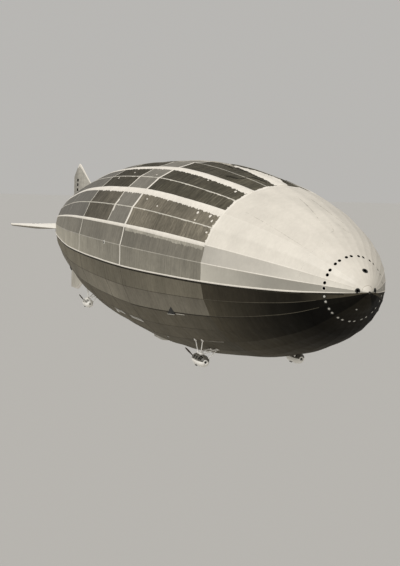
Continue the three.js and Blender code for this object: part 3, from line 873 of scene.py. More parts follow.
def addCrestFlap():
    maker = PieceMaker()
    stations = np.arange(bands["first"], bands["flapLast"], bands["rowStep"])
    reaches = [np.interp(stations, columnOf(bands["flap"], 0), columnOf(bands["flap"], i)) for i in (1, 2)]
    waving = [waves[key].at(stations / bands["toothPitch"]) for key in (5, 6)]
    port, starboard = (
        reach + bands["tooth"] * np.clip(wave, bands["flapBays"], 1) for reach, wave in zip(reaches, waving))
    columns = []
    for share in np.linspace(0, 1, bands["flapColumns"]):
        angles = np.degrees((-port + (starboard + port) * share) / hullRadius(stations))
        lift = bands["flapLift"] * (1 + math.sin(math.pi * share)) + foldsUnder(stations, angles)
        columns.append(hullSkin(stations, angles, lift if 0 < share < 1 else lift - bands["flapEdge"]))
    for edge in (starboard, -port):
        angles = np.degrees(edge / hullRadius(stations))
        columns.append(hullSkin(stations, angles, bands["flapSink"] + foldsUnder(stations, angles)))
    maker.rings(np.stack(columns, 1))
    maker.build("crest_flap", ["bandTape"], "bow_cover", crease=50)


def addCoverEdge():
    maker = PieceMaker()
    fore, step = bands["first"] - bands["edgeHalf"], bands["edgeStep"]
    angles = np.arange(-crownEdge, crownEdge + step / 2, step)
    tooth = bands["edgeTooth"] * np.clip(waves[5].at(angles / bands["edgePitch"]), 0, 1)
    half = bands["edgeHalf"] + tooth * bands["toothShare"]
    section = [(share + 1, bands["edgeLift"] * height) for share, height in tapeSection]
    section += [(2, tapeSink), (0, tapeSink)]
    maker.rings(np.stack([hullSkin(fore + share * half, angles, lift) for share, lift in section], 1))
    maker.build("nose_cover_edge", ["bandTape"], "bow_cover", crease=40)


# Creases, drawn as strips of painted shade, and patches on the cover, as lines of stations and angles with
# their half widths
coverMarks = {
    "creases": [
        ([(44.6, 18.6), (42.5, 17.4), (40.3, 16), (39.9, 12), (39.5, 8.4), (36.6, 7.5), (34, 7)], 0.29),
        ([(62, 3.0), (58.0, 4.6), (54, 5.0), (50, 6.6)], 0.22),
        ([(57, -2.5), (51, -4), (46, -6.5)], 0.2),
        ([(52, 3.2), (47.5, 2.6), (43, 3.6), (38, 4.6), (34, 5.2)], 0.24),
    ],
    # faint creases on the smooth nose, drawn as strips of painted shade
    "noseCreases": [
        ([(24, 4), (19, 5.5), (15, 8), (12.2, 12)], 0.12), ([(13, 2), (9.6, 7), (9.2, 14)], 0.07),
        ([(26, 41), (17, 43), (9, 46)], 0.06),
    ],
    # station and angle of the middle, reach along the ship and round it, in metres
    "patches": [
        (79.6, 36, 0.5, 1.0), (79.2, 60, 0.5, 1.5), (38.4, 52.9, 0.35, 0.28), (33.7, 52.8, 0.34, 0.3),
        (34.5, 28.7, 0.3, 0.25), (31.9, 63.9, 0.3, 0.22), (37.6, 58.2, 0.2, 0.18), (32.3, 55.6, 0.24, 0.24),
        (89.5, 31, 0.25, 0.22), (71, 33, 0.25, 0.22), (96, 38, 0.25, 0.25), (58.5, 2.4, 0.5, 0.35),
        (47, 27.4, 0.2, 0.2), (55, 56, 0.25, 0.2), (62, 53, 0.3, 0.22),
    ],
    "creaseLift": 0.012, "otherSide": -3, "otherShare": 0.7, "noseLift": 0.006, "patchLift": 0.035,
}


def addCoverMarks():
    maker = PieceMaker()
    for line, half in coverMarks["creases"]:
        other = [(s, coverMarks["otherSide"] - a) for s, a in line]
        alongPath(maker, line, half, coverMarks["creaseLift"], 6, foldsUnder)
        alongPath(maker, other, half * coverMarks["otherShare"], coverMarks["creaseLift"], 5, foldsUnder)
    maker.build("crease_shade_strips", ["creaseShade"], "hull_cover", crease=40)
    maker = PieceMaker()
    for line, half in coverMarks["noseCreases"]:
        for side in (1, -1):
            alongPath(maker, [(s, side * a) for s, a in line], half, coverMarks["noseLift"], 3)
    maker.build("nose_crease_shade", ["noseCrease"], "bow_cover", crease=60)
    maker = PieceMaker()
    for station, angle, reach, wide in coverMarks["patches"]:
        degrees = math.degrees(wide / hullRadius(station))
        for side in (1, -1):
            line = [(station, side * (angle - degrees)), (station, side * (angle + degrees))]
            if reach > wide:
                line = [(station - reach, side * angle), (station + reach, side * angle)]
            alongPath(maker, line, min(reach, wide), coverMarks["patchLift"], 7, foldsUnder)
    maker.build("cover_patches", ["bandTape"], "bow_cover", crease=40)


addTapes("cream_bands", "crest_band")
addCrestFlap()
addCoverEdge()
addTapes("laced_skirts", "thin_tapes", "edge_tapes", "lower_seams", "nose_seams", "edge_shade_lines")
addCoverMarks()
print("bands, tapes and patches made")


# Nose: the ring of paired inlets, four ports, and the mooring cone with its spindle
nose = {
    "inletStation": 4.5, "inletRadius": 0.28, "firstRidge": 12, "ridgePitch": 24, "halfSpread": 4.8,
    "shutFrom": 94,
    # columns: station, angle, radius, whether its lid is shut
    "ports": ((2.0, 352, 0.3, False), (0.6, 84, 0.22, False), (0.6, 276, 0.22, False), (1.9, 165, 0.2, True)),
    "cut": (-0.5, 0.3), "rim": 0.05, "rimLift": 0.02, "rimSink": -0.05, "collar": 0.17,
    "lip": 0.93, "lipLift": 0.006, "lipSink": -0.04, "chamfer": 0.02,
    # a shut lid's radius as a share of the hole's, and its section: share of the lid's radius, height
    "lid": 0.66, "lidSection": ((1.0, -0.03), (1.0, 0.015), (0.8, 0.035)), "lidMiddle": (0.03, 0.045),
}


def skinAxes(station, angle):
    # a point on the cover and two directions that lie in it, with the way out
    here = hullSkin(station, angle)
    aft = unit(hullSkin(station + 0.1, angle) - here)
    across = unit(hullSkin(station, angle + 1.0) - hullSkin(station, angle - 1.0))
    out = np.cross(across, aft)
    if np.dot(out[1:], here[1:]) < 0:
        out = -out
    return here, aft, across, unit(out)


discSides = 20


def discRings(axes, outline):
    # rings about a point, from its two directions and the way out: outline rows are radius and height
    place, first, second, out = axes
    turns = evenTurns(discSides)
    flat = np.outer(np.cos(turns), first) + np.outer(np.sin(turns), second)
    return [place + flat * radius * modelScale + out * height * modelScale for radius, height in outline]


def noseHoles():
    for ridge in range(nose["firstRidge"], 360, nose["ridgePitch"]):
        for spread in (-nose["halfSpread"], nose["halfSpread"]):
            shut = abs(fromCrown(ridge + spread)) > nose["shutFrom"]
            yield nose["inletStation"], ridge + spread, nose["inletRadius"], shut
    yield from nose["ports"]


def cutHoles(piece, maker, inside=0):
    # takes the maker's solids out of the piece and gives the cut the piece's finish of that number
    cutter = newObject("cutter", maker.mesh("cutter"))
    for finish in piece.data.materials:
        cutter.data.materials.append(finish)
    cutter.data.polygons.foreach_set("material_index", np.full(len(cutter.data.polygons), inside, np.int32))
    modifier = piece.modifiers.new("cut", "BOOLEAN")
    modifier.operation, modifier.object, modifier.solver = "DIFFERENCE", cutter, "EXACT"
    bpy.context.view_layer.update()
    cut = bpy.data.meshes.new_from_object(piece.evaluated_get(bpy.context.evaluated_depsgraph_get()))
    piece.modifiers.clear()
    piece.data = cut
    bpy.data.objects.remove(cutter)


def addNose():
    cutters, lips, rims, shutters = PieceMaker(), PieceMaker(), PieceMaker(), PieceMaker()
    sink, chamfer = nose["rimSink"], nose["chamfer"]
    for station, angle, radius, shut in noseHoles():
        axes = skinAxes(station, angle)
        cutters.rings(discRings(axes, [(radius, height) for height in nose["cut"]]))
        isPort = station < nose["inletStation"]
        collared = shut or isPort
        wide = radius + nose["collar" if isPort and not shut else "rim"]
        high = nose["rimLift" if collared else "lipLift"]
        inner = radius * nose["lip"]
        section = [(inner, nose["lipSink"]), (inner, high), (wide - chamfer, high)]
        section += [(wide, 0.0), (wide, sink), (radius - chamfer, sink)]
        # ports and shut inlets get near-black rims: painted shade round the openings
        (rims if collared else lips).rings(discRings(axes, section), closed=True)
        if shut:
            lid = [(radius * nose["lid"] * share, height) for share, height in nose["lidSection"]]
            shutters.rings(discRings(axes, [*lid, nose["lidMiddle"]]))
    cutHoles(bpy.data.objects["nose_cap_cover"], cutters, insideZone)
    lips.build("inlet_lips", ["creamShoulder"], "bow_cover")
    rims.build("inlet_shade_rims", ["insideShade"], "mooring_metal")
    shutters.build("inlet_shutters", ["lidPaint"], "mooring_metal")


mooringCone = {
    # station and radius, or metres along and out from a line
    "outline": [(0.3, 0.95), (0.13, 0.8), (-0.05, 0.6), (-0.18, 0.4), (-0.28, 0.26), (-0.32, 0.18)],
    "spindle": [(0.0, 0.15), (-0.28, 0.2), (-0.36, 0.12), (-0.62, 0.12)], "end": -0.7, "endChamfer": 0.02,
    "collars": (-0.44, -0.55), "collar": [(-0.03, 0.0), (-0.02, 0.025), (0.02, 0.025), (0.03, 0.0)],
    # station and radius of the bead's middle, its thickness and how many points go round it
    "bead": (0.3, 0.975, 0.05, 8), "step": 1.5, "sides": 32,
}


def addMooringCone():
    # the skirt carries the nose's facets and tones, with their painted light and shade, on to the spindle
    step, sides = mooringCone["step"], mooringCone["sides"]
    angles = np.arange(0, 360, step)
    draw, turns, zone = facetDraw(angles)[0], np.radians(angles), zonesAt(angles + step / 2)

    def facetedRing(station, radius):
        reach = radius * draw * modelScale
        xs = np.full(len(angles), stationX(station))
        return np.stack([xs, -reach * np.sin(turns), reach * np.cos(turns)], -1)

    maker = PieceMaker()
    rows = [facetedRing(*row) for row in mooringCone["outline"]]
    maker.rings(rows, (len(rows) - 1) * zone + [0, 0])
    maker.build("mooring_cone_skirt", noseFinishes, "mooring_metal", ["bow_mooring_cone"], crease=80)
    maker = PieceMaker()
    station, radius, thick, count = mooringCone["bead"]
    bends = [(station + thick * math.cos(bend), radius + thick * math.sin(bend)) for bend in evenTurns(count)]
    rows = np.stack([facetedRing(*bend) for bend in bends], 1)
    maker.rings(rows, np.repeat(zone, count).tolist(), closed=True)
    maker.build("mooring_cone_bead", noseFinishes, "bow_cover", crease=80)
    maker = PieceMaker()
    radius, end, chamfer = mooringCone["spindle"][-1][1], mooringCone["end"], mooringCone["endChamfer"]
    outline = [*mooringCone["spindle"], (end + chamfer, radius), (end, radius - chamfer)]
    maker.turned(outline, (0, 0), sides)
    for station in mooringCone["collars"]:
        outline = [(station + along, radius + rise) for along, rise in mooringCone["collar"]]
        maker.turned(outline, (0, 0), sides)
    maker.build("mooring_spindle", ["castIron"], "mooring_metal")


addNose()
addMooringCone()
print("nose made")


# Promenade windows: a framed row of panes on each strip of the frame
windowRow = {
    # ridge that the facet starts from, and the shares of the facet at the row's upper and lower edge
    "ridges": {"starboard": (132, 0.04, 0.25), "port": (216, 0.96, 0.75)},
    "depth": 0.055, "back": 0.004, "rail": 0.08, "sill": 0.24, "post": 0.06, "panePitch": 1.0,
    "paneSink": 0.025, "paneBack": 0.006, "paneEnd": 0.02,
}


def facetPoint(station, ridge, share, lift):
    # on the flat facet between a ridge and the next
    a, b = hullSkin(station, ridge), hullSkin(station, ridge + ridgeStep)
    here = a + (b - a) * share
    return here + unit(np.array([0.0, *here[1:]])) * lift * modelScale


def facetSlab(maker, ridge, stations, shares, heights, finish=0):
    # a flat bar on a facet, between two stations, two shares of its width and two heights
    (top, bottom), (under, over) = shares, heights
    corners = ((top, under), (top, over), (bottom, over), (bottom, under))
    maker.rings([[facetPoint(station, ridge, *corner) for corner in corners] for station in stations], finish)


def addWindowRow(side, end):
    node = f"promenade_windows_{side}_{end}"
    first, last = stationsOf(node)
    ridge, top, bottom = windowRow["ridges"][side]
    frames, panes = PieceMaker(), PieceMaker()
    post, paneEnd = windowRow["post"], windowRow["paneEnd"]
    high, paneHigh = windowRow["depth"], windowRow["depth"] - windowRow["paneSink"]
    edges = facetPoint(first, ridge, top, 0), facetPoint(first, ridge, bottom, 0)
    width = np.linalg.norm(edges[0] - edges[1]) / modelScale
    rail, sill = ((bottom - top) * windowRow[name] / width for name in ("rail", "sill"))
    heights = (windowRow["back"], high)
    facetSlab(frames, ridge, (first, last), (top, top + rail), heights, 1)
    facetSlab(frames, ridge, (first, last), (bottom - sill, bottom), heights)
    count = max(3, round((last - first) / windowRow["panePitch"]))
    for mark in np.linspace(first, last - post, count + 1):
        facetSlab(frames, ridge, (mark, mark + post), (top + rail, bottom - sill), heights, 1)
    pane = (top + rail * 0.5, bottom - sill * 0.5)
    facetSlab(panes, ridge, (first + paneEnd, last - paneEnd), pane, (windowRow["paneBack"], paneHigh))
    frames.build(f"{node}_frames", ["whiteLid", "brightTrim"], "window_glass", [node])
    panes.build(f"{node}_panes", ["paneGlass"], "window_glass")


for side in ("starboard", "port"):
    for end in ("fore", "aft"):
        addWindowRow(side, end)
print("windows made")


# Hatches above the wing cars, small fittings on the cover and a pale panel below each aft window row
coverFittings = {
    # a hatch: corners as metres aft of its peak and degrees, their heights, and the rail that runs forward
    "hatchStations": (45.0, 133.0), "hatch": [(0.0, 116.7), (2.3, 121.5), (-0.9, 121.5)],
    "hatchHeights": (0.03, 0.32, 0.32), "hatchSink": -0.05, "hoodBar": 0.035,
    "rail": (-0.8, -4.6), "railAngle": 121.4, "railHalf": 0.07, "railLift": 0.05,
    # columns: station, angle, radius
    "lamps": [(78.5, 84.6, 0.4), (61.0, 146.6, 0.22)],
    # columns: share of the lamp's radius, height
    "plate": ((1.0, -0.03), (1.0, 0.02), (0.9, 0.05), (0.6, 0.06)),
    "dome": ((0.55, 0.02), (0.55, 0.1), (0.45, 0.18), (0.25, 0.24)), "domeTop": (0.03, 0.26),
    # pale panel: middle station, half length, shares of the facets that start at the window rows' ridges
    "panel": (89.0, 1.0, 0.32, 0.5),
    # its border and its face: how far each is set in, in metres and in shares, its heights and its finish
    "panelLayers": ((0.0, 0.0, (-0.02, 0.04), 1), (0.08, 0.02, (0.03, 0.055), 0)),
}


def addHatches():
    dark, bright = PieceMaker(), PieceMaker()
    for start in coverFittings["hatchStations"]:
        for side in (1, -1):
            corners = [(start + along, side * angle) for along, angle in coverFittings["hatch"]]
            low = [hullSkin(*corner, coverFittings["hatchSink"]) for corner in corners]
            high = [hullSkin(*corner, rise) for corner, rise in zip(corners, coverFittings["hatchHeights"])]
            # each hatch is a raised near-black prism: painted shade of its opening under the hood
            dark.rings([low, high])
            bright.bar(high[1], high[2], coverFittings["hoodBar"], 8)
            line = [(start + along, side * coverFittings["railAngle"]) for along in coverFittings["rail"]]
            alongPath(bright, line, coverFittings["railHalf"], coverFittings["railLift"])
    dark.build("car_hatch_shades", ["insideShade"], "hull_cover")
    bright.build("hatch_rails", ["brightTrim"], "window_glass", crease=40)


def addLamps():
    plates, domes = PieceMaker(), PieceMaker()
    for station, angle, radius in coverFittings["lamps"]:
        for side in (1, -1):
            axes = skinAxes(station, side * angle)
            plate, dome = (
                [(radius * share, height) for share, height in coverFittings[key]]
                for key in ("plate", "dome"))
            plates.rings(discRings(axes, plate))
            domes.rings(discRings(axes, [*dome, coverFittings["domeTop"]]))
    plates.build("lamp_plates", ["whiteLid"], "car_metal")
    domes.build("lamp_domes", ["paneGlass"], "window_glass")


def addPalePanels():
    panels = PieceMaker()
    station, half, high, low = coverFittings["panel"]
    for side, (ridge, _, _) in windowRow["ridges"].items():
        for inset, grow, heights, finish in coverFittings["panelLayers"]:
            stations, shares = (station - half + inset, station + half - inset), (high + grow, low - grow)
            if side == "port":
                shares = [1 - share for share in shares]
            facetSlab(panels, ridge, stations, shares, heights, finish)
    panels.build("pale_panels", ["whiteLid", "brightTrim"], "hull_cover", crease=40)


addHatches()
addLamps()
addPalePanels()
print("hatches, lamps and panels made")


# Tail: four fins on the hull, each with its hinged surface behind it
tail = {
    "hingeStation": 193.35, "gap": 0.08, "surfaceRoot": 7.75, "rootRadius": 0.45, "tipRadius": 0.22,
    "tipAt": 19.9, "tipStation": 191.3, "edge": 0.05, "rows": 64, "columns": 40, "emerges": 170.2,
    "ribPitch": 1.45, "ribSag": 0.035, "ribsTo": 0.985,
    # heights above the axis where the leading edge's line and the taper start, and the sheet's first height
    "rootHeight": 10, "thickFrom": 4, "firstHeight": 14.0, "rounds": 6,
    "edgeTurns": 6, "footSink": 0.12, "noseColumns": 13, "thinnest": 0.02,
    # the bright strip of painted highlight over the leading edge, and the tube along the rear edge
    "edgeHighlight": 0.55, "highlightLift": 0.014, "highlightBelow": 0.004, "rearTube": 0.04, "tubeShares": (0.004, 0.996),
    # how far a level fin's underside of painted shade hangs below its leading edge, at the hull and at the
    # tip, and how soon it fades inward and grows aft
    "under": (0.75, 0.1), "underFade": 0.9, "underGrows": 9.0,
}
# columns: station, height of the leading edge, half thickness at the hull's axis and at that edge
finLines = [
    (164, 9.4, 0.12, 0.05), (170, 11.7, 0.5, 0.08), (176, 14.1, 0.85, 0.11), (182, 16.5, 1.05, 0.15),
    (187.5, 18.75, 0.95, 0.18), (190, 19.7, 0.8, 0.2), (191.3, 19.9, 0.7, 0.2), (192.9, 19.45, 0.55, 0.2),
]
hinge = {
    "heights": (9.5, 11.75, 13.4, 14.9), "lug": 0.3, "width": 0.16, "eye": 0.13,
    "pin": 0.06, "pinReach": 0.16,
    "notchHalf": 0.48, "notchAft": 0.5, "notchFore": 1.1, "notchPast": 2, "notchChamfer": 0.03,
    "armFore": 1.15, "chamfer": 0.02,
    "socket": 0.068, "socketReach": 0.04, "boltsAt": (0.4, 0.8), "bolt": 0.05, "boltHead": 0.03,
    "shadeFore": 1.9, "shadeHalf": 0.42, "shadeGrid": (7, 9), "shadeHeights": (0.012, -0.03),
    "shadeShort": 0.02, "socketInset": 0.01,
}
# columns: place, turn about the hull's axis, reach at the tip and at the rear, rear station
tailPlaces = [
    ("top", 0, 20.3, 15.9, 199.6), ("starboard", 90, 22.3, 21.2, 200.0),
    ("bottom", 180, 21.1, 21.4, 201.4), ("port", 270, 22.3, 21.2, 200.0),
]
finFinishes = ["finCover", "hingeShade", "finBright", "finUnder", "finLower"]
# the numbers of the finishes on a fin's starboard and port side, before it is turned to its place: a level
# fin's top takes painted light and its underside painted shade
sideFinishOf = {0: (0, 0), 90: (3, 2), 180: (4, 4), 270: (2, 3)}
underNumber, shadeNumber = 3, 1


def turnedAbout(points, turn):
    points = np.asarray(points, float)
    c, s = cosSin(turn)
    y, z = points[..., 1], points[..., 2]
    return np.stack([points[..., 0], y * c - z * s, y * s + z * c], -1)


def between(pair, share):
    return pair[0] + (pair[1] - pair[0]) * share


def surfaceRadius(height):
    share = (height - tail["surfaceRoot"]) / (tail["tipAt"] - tail["surfaceRoot"])
    return between((tail["rootRadius"], tail["tipRadius"]), share)


def finLine(station, column):
    return np.interp(station, columnOf(finLines, 0), columnOf(finLines, column))


def ribDraw(height):
    return tail["ribSag"] * np.sin(math.pi * height / tail["ribPitch"]) ** 2


def outerEdge(station, reach, slope):
    return reach - slope * (station - tail["tipStation"])


def finSheet(reach, slope):
    # points on one side of a fin: rows from the hull outward, columns from its root aft to the hinge
    base, tip, turns = tail["rootHeight"], tail["tipStation"], tail["edgeTurns"]
    shares = np.linspace(0, 1, tail["columns"] + 1)
    up = np.concatenate([np.linspace(0, 1, tail["rows"] + 1), np.ones(turns)])
    bends = np.concatenate([np.zeros(tail["rows"] + 1), np.linspace(0, math.pi / 2, turns + 1)[1:]])
    v, u = np.meshgrid(up, shares, indexing="ij")
    bend = np.meshgrid(bends, shares, indexing="ij")[0]
    height = np.full(u.shape, tail["firstHeight"])
    for _ in range(tail["rounds"]):
        # the rear line leans with the surface's nose, so the heights settle over a few rounds
        rear = tail["hingeStation"] - surfaceRadius(height) - tail["gap"]
        station = tail["emerges"] + u * (rear - tail["emerges"])
        edge = finLine(station, 3)
        foot = hullRadius(station) - tail["footSink"]
        leading = base + (finLine(station, 1) - base) * (reach - base) / (tail["tipAt"] - base)
        top = np.where(station > tip, outerEdge(station, reach, slope), leading)
        rim = np.maximum(top - edge, foot + tail["thinnest"])
        height = foot + v * (rim - foot) + edge * np.sin(bend)
    start = tail["thickFrom"]
    share = np.clip((np.minimum(height, rim) - start) / (rim - start), 0, 1)
    half = between((finLine(station, 2), edge), share)
    half = (half - ribDraw(height) * (bend == 0) * (v < tail["ribsTo"])) * np.cos(bend)
    return station, height, np.maximum(half, 0.0)


def finSides(reach, slope, finishes):
    # model points on a fin's starboard and port side, its underside of painted shade fuller, and the
    # highlight strip's first row
    station, height, half = finSheet(reach, slope)
    rows = tail["rows"]
    inward = np.maximum(height[rows] - height, 0)
    share = np.clip((station - tail["emerges"]) / (tail["tipStation"] - tail["emerges"]), 0, 1)
    grown = np.clip((station - tail["emerges"]) / tail["underGrows"], 0, 1)
    depth = between(tail["under"], share) * grown
    fuller = half + depth * np.exp(-(inward / tail["underFade"]) ** 2) * np.minimum(half / half[rows], 1.0)
    sides = []
    for way, finish in zip((-1, 1), finishes):
        side = fuller if finish == underNumber else half
        sides.append(np.stack([stationX(station), way * side * modelScale, height * modelScale], -1))
    below = tail["edgeHighlight"] / np.maximum(height[rows] - height[0], tail["edgeHighlight"])
    return *sides, rows - max(2, int(np.ceil(below[-1] * rows)))


def hingeNotches(side, depth):
    # the open boxes round every hinge, cut into what lies fore (side -1) or aft (side 1) of the hinge line
    maker = PieceMaker()
    axis, half, past = tail["hingeStation"], hinge["notchHalf"], hinge["notchPast"]
    for height in hinge["heights"]:
        low, high = at(axis - side * past, -past, height - half), at(axis + side * depth, past, height + half)
        maker.block(low, high, hinge["notchChamfer"])
    return maker


def turnMaker(maker, turn):
    maker.points = [turnedAbout(np.concatenate(maker.points), turn)]
    return maker


def upAndDown(starboard, port):
    # one loop for each column: up one side and down the other
    return np.concatenate([starboard[:-1], port[::-1]], 0).transpose(1, 0, 2)


def addFin(place, turn, reach, slope):
    finishes = sideFinishOf[turn]
    starboard, port, stripRow = finSides(reach, slope, finishes)
    loops = upAndDown(starboard, port)
    around = [finishes[0]] * (len(starboard) - 1) + [finishes[1]] * (loops.shape[1] - len(starboard) + 1)
    maker = PieceMaker()
    maker.rings(turnedAbout(loops, turn), (len(loops) - 1) * around + [0, 1])
    fin = maker.build(f"fin_{place}_cover", finFinishes, "tail_cover", [f"fin_{place}"], crease=35)
    # the notches' cut faces are near black: painted shade
    cutHoles(fin, turnMaker(hingeNotches(-1, hinge["notchFore"]), turn), shadeNumber)
    addEdgeHighlight(place, turn, reach, upAndDown(starboard[stripRow:], port[stripRow:]))
    addShades(place, turn, reach, slope)
    addLugs(place, turn)


def addEdgeHighlight(place, turn, reach, edge):
    # a bright strip over the leading edge and the tip, a little outside the fin: painted highlight
    away = edge - (edge[:, :1] + edge[:, -1:]) / 2
    away[..., 0] = 0
    length = np.linalg.norm(away, axis=-1, keepdims=True)
    grown = edge + away / np.maximum(length, 1e-6) * tail["highlightLift"] * modelScale
    grown[..., 2] = np.minimum(grown[..., 2], (reach - tail["highlightBelow"]) * modelScale)
    # on the level fins the painted highlight stops at the middle of the edge, and the painted shade of the
    # underside starts there
    outermost = grown.shape[1] // 2
    grown = {90: grown[:, outermost:], 270: grown[:, :outermost + 1]}.get(turn, grown)
    maker = PieceMaker()
    maker.rings(turnedAbout(grown, turn))
    maker.build(f"fin_{place}_edge", ["bandTape"], "tail_cover", crease=35)


def addShades(place, turn, reach, slope):
    # a panel of painted shade ahead of each hinge box, on both sides of the fin
    maker = PieceMaker()
    (rows, columns), shadeAft = hinge["shadeGrid"], hinge["notchFore"] - hinge["shadeShort"]
    start = tail["thickFrom"]
    stations = tail["hingeStation"] - np.linspace(hinge["shadeFore"], shadeAft, rows)
    for height in hinge["heights"]:
        heights = height + np.linspace(-1, 1, columns) * hinge["shadeHalf"]
        for side in (-1, 1):
            loops = []
            for station in stations:
                thick, edge = finLine(station, 2), finLine(station, 3)
                rim = outerEdge(station, reach, slope) - edge
                half = between((thick, edge), (heights - start) / (rim - start)) - ribDraw(heights)
                over, under = ([at(station, side * (y + lift), z) for y, z in zip(half, heights)]
                               for lift in hinge["shadeHeights"])
                loops.append(over + under[::-1])
            maker.rings(turnedAbout(loops, turn))
    maker.build(f"fin_{place}_hinge_shade_panels", ["hingeShade"], "tail_cover", crease=40)


def addLugs(place, turn):
    maker = PieceMaker()
    axis, half, reach = tail["hingeStation"], hinge["width"] / 2, hinge["notchHalf"] + hinge["pinReach"]
    for height in hinge["heights"]:
        low, high = height - hinge["lug"] / 2, height + hinge["lug"] / 2
        maker.block(at(axis, -half, low), at(axis - hinge["armFore"], half, high), hinge["chamfer"])
        maker.bar(at(axis, 0, low), at(axis, 0, high), hinge["eye"], 20)
        maker.bar(at(axis, 0, height - reach), at(axis, 0, height + reach), hinge["pin"], 16)
        for side in (-1, 1):
            for along in hinge["boltsAt"]:
                bolt = [at(axis - along, side * (half + rise), height) for rise in (0, hinge["boltHead"])]
                maker.bar(*bolt, hinge["bolt"], 6)
    turnMaker(maker, turn).build(f"fin_{place}_hinge_lugs", ["castIron"], "tail_cover")


def surfaceLoop(outline, share, reach, slope, rear):
    # one section of a hinged surface, at a share of the way from its root to its tip
    loop = []
    for kind, p in outline:
        onNose = kind == "nose"
        u = 0 if onNose else p
        s = tail["hingeStation"] + u * (rear - tail["hingeStation"])
        h = between((tail["surfaceRoot"], outerEdge(s, reach, slope)), share)
        radius = surfaceRadius(h)
        half = between((radius, tail["edge"] / 2), u)
        draw = float(ribDraw(h)) * math.sin(math.pi * min(1.0, u)) ** 0.5 if 0 < share < 1 else 0.0
        side = math.sin(p) if onNose else {"port": 1, "starboard": -1}[kind]
        ahead = math.cos(p) * radius if onNose else 0.0
        loop.append(at(s - ahead, side * max(half - draw, tail["thinnest"]), h))
    return loop


def addSurface(place, turn, reach, slope, rear, body):
    # the hinged surface: a round nose about the hinge line, ribs, and a thin rear edge
    axis, root, notch = tail["hingeStation"], tail["surfaceRoot"], hinge["notchHalf"]
    shares = np.linspace(0, 1, tail["columns"] // 2 + 1)[1:]
    outline = [("nose", bend) for bend in np.linspace(-math.pi / 2, math.pi / 2, tail["noseColumns"])]
    outline += [("port", u) for u in shares] + [("starboard", u) for u in shares[::-1]]
    starboardFinish, portFinish = sideFinishOf[turn]
    onPort = [kind == "port" or (kind == "nose" and place > 0) for kind, place in outline]
    around = [portFinish if port else starboardFinish for port in onPort]
    loops = [surfaceLoop(outline, v, reach, slope, rear) for v in np.linspace(0, 1, tail["rows"] + 1)]
    maker = PieceMaker()
    maker.rings(turnedAbout(loops, turn), tail["rows"] * around + [0, 0])
    piece = maker.build(f"{body}_cover", finFinishes, "tail_cover", [body], body, crease=35)
    cutters = hingeNotches(1, hinge["notchAft"])
    for height in hinge["heights"]:
        for side in (-1, 1):
            inner, outer = notch - hinge["socketInset"], notch + hinge["pinReach"] + hinge["socketReach"]
            ends = (at(axis, 0, height + side * reached) for reached in (inner, outer))
            cutters.bar(*ends, hinge["socket"], 16)
    # the notches' and sockets' cut faces are near black: painted shade
    cutHoles(piece, turnMaker(cutters, turn), shadeNumber)
    maker = PieceMaker()
    tube, top = tail["rearTube"], outerEdge(rear, reach, slope)
    ends = (turnedAbout(at(rear - tube, 0, between((root, top), v)), turn) for v in tail["tubeShares"])
    maker.bar(*ends, tube, 10)
    maker.build(f"{body}_rear_edge", ["bandTape"], "tail_cover", body=body)


for place, turn, reach, rearReach, rearStation in tailPlaces:
    # the drop of the outer edge, from the fin's tip to the rear of the surface
    slope = (reach - rearReach) / (rearStation - tail["tipStation"])
    surface = f"rudder_{place}" if turn % 180 == 0 else f"elevator_{place}"
    addFin(place, turn, reach, slope)
    addSurface(place, turn, reach, slope, rearStation, surface)
print("tail made")


# Engine cars: hollow teardrops on their struts, with a pusher propeller behind each
carLook = {
    "length": 6.6, "wall": 0.1, "sides": 64, "lipSides": 48,
    # columns: metres aft of the car's front, radius
    "outline": [
        (0.15, 0.36), (0.45, 0.74), (1.0, 1.0), (1.9, 1.15),
        (4.3, 1.15), (5.3, 0.9), (6.1, 0.52), (6.6, 0.25),
    ],
    # stretches of the shell with the rings that shape them: from, to, count
    "stretches": ((0.15, 1.9, 14), (2.3, 4.3, 6), (4.5, 6.6, 14)),
    "seamRings": (1.0, 1.9, 3.1, 4.3, 5.3), "seamAngles": (0, 40, 90, 140, 180, 220, 270, 320),
    # sections of the seams round a car and along it: place across the seam, height
    "ringSection": ((-0.04, -0.01), (-0.03, 0.014), (0.03, 0.014), (0.04, -0.01)),
    "seamSection": ((-1, -0.01), (-0.7, 0.012), (0.7, 0.012), (1, -0.01)),
    "seamHalf": 0.03, "seamReach": (0.3, 6.5, 40),
    # rings turned about the car's axis, metres aft of its front and radius: front lip, intake and rear lip
    "turnedRings": (
        ((0.11, 0.38), (0.11, 0.42), (0.18, 0.47), (0.24, 0.46), (0.24, 0.38)),
        ((0.24, 0.22), (0.21, 0.23), (0.21, 0.4), (0.27, 0.4), (0.27, 0.22)),
        ((6.5, 0.2), (6.5, 0.36), (6.62, 0.3), (6.62, 0.2)),
    ),
    # louvred openings high on both sides: from and to along the car, low and high angle from its top
    "louvres": [(0.62, 1.75, 16, 72), (2.1, 2.95, 38, 76), (3.2, 4.1, 38, 76)], "louvreCut": (-0.5, 0.3),
    "frame": 0.03, "frameLift": 0.005, "frameSteps": 6,
    # slats: count, and their section as degrees from the middle and height
    "slats": 7, "slatSection": ((-2.2, -0.07), (2.2, -0.015), (2.2, -0.035), (-2.2, -0.09)),
    "cowlTo": 84, "plainCars": ("starboard_aft", "port_aft", "centre"),
    "grilleAt": 0.42, "grilleReach": 0.42, "grilleBars": 7, "grilleBar": 0.02, "grilleStep": 0.03,
    "exhausts": (2.6, 3.0, 3.4), "exhaustTurn": 38, "exhaustLean": 0.22, "exhaustLift": (-0.02, 0.2),
    "exhaustRadii": (0.06, 0.07),
    "rail": (1.3, 4.9, 13), "railFeet": (1.3, 4.9, 5), "railTurn": 80, "railLift": (-0.01, 0.11),
    "railRadius": 0.022, "railPost": 0.018,
}
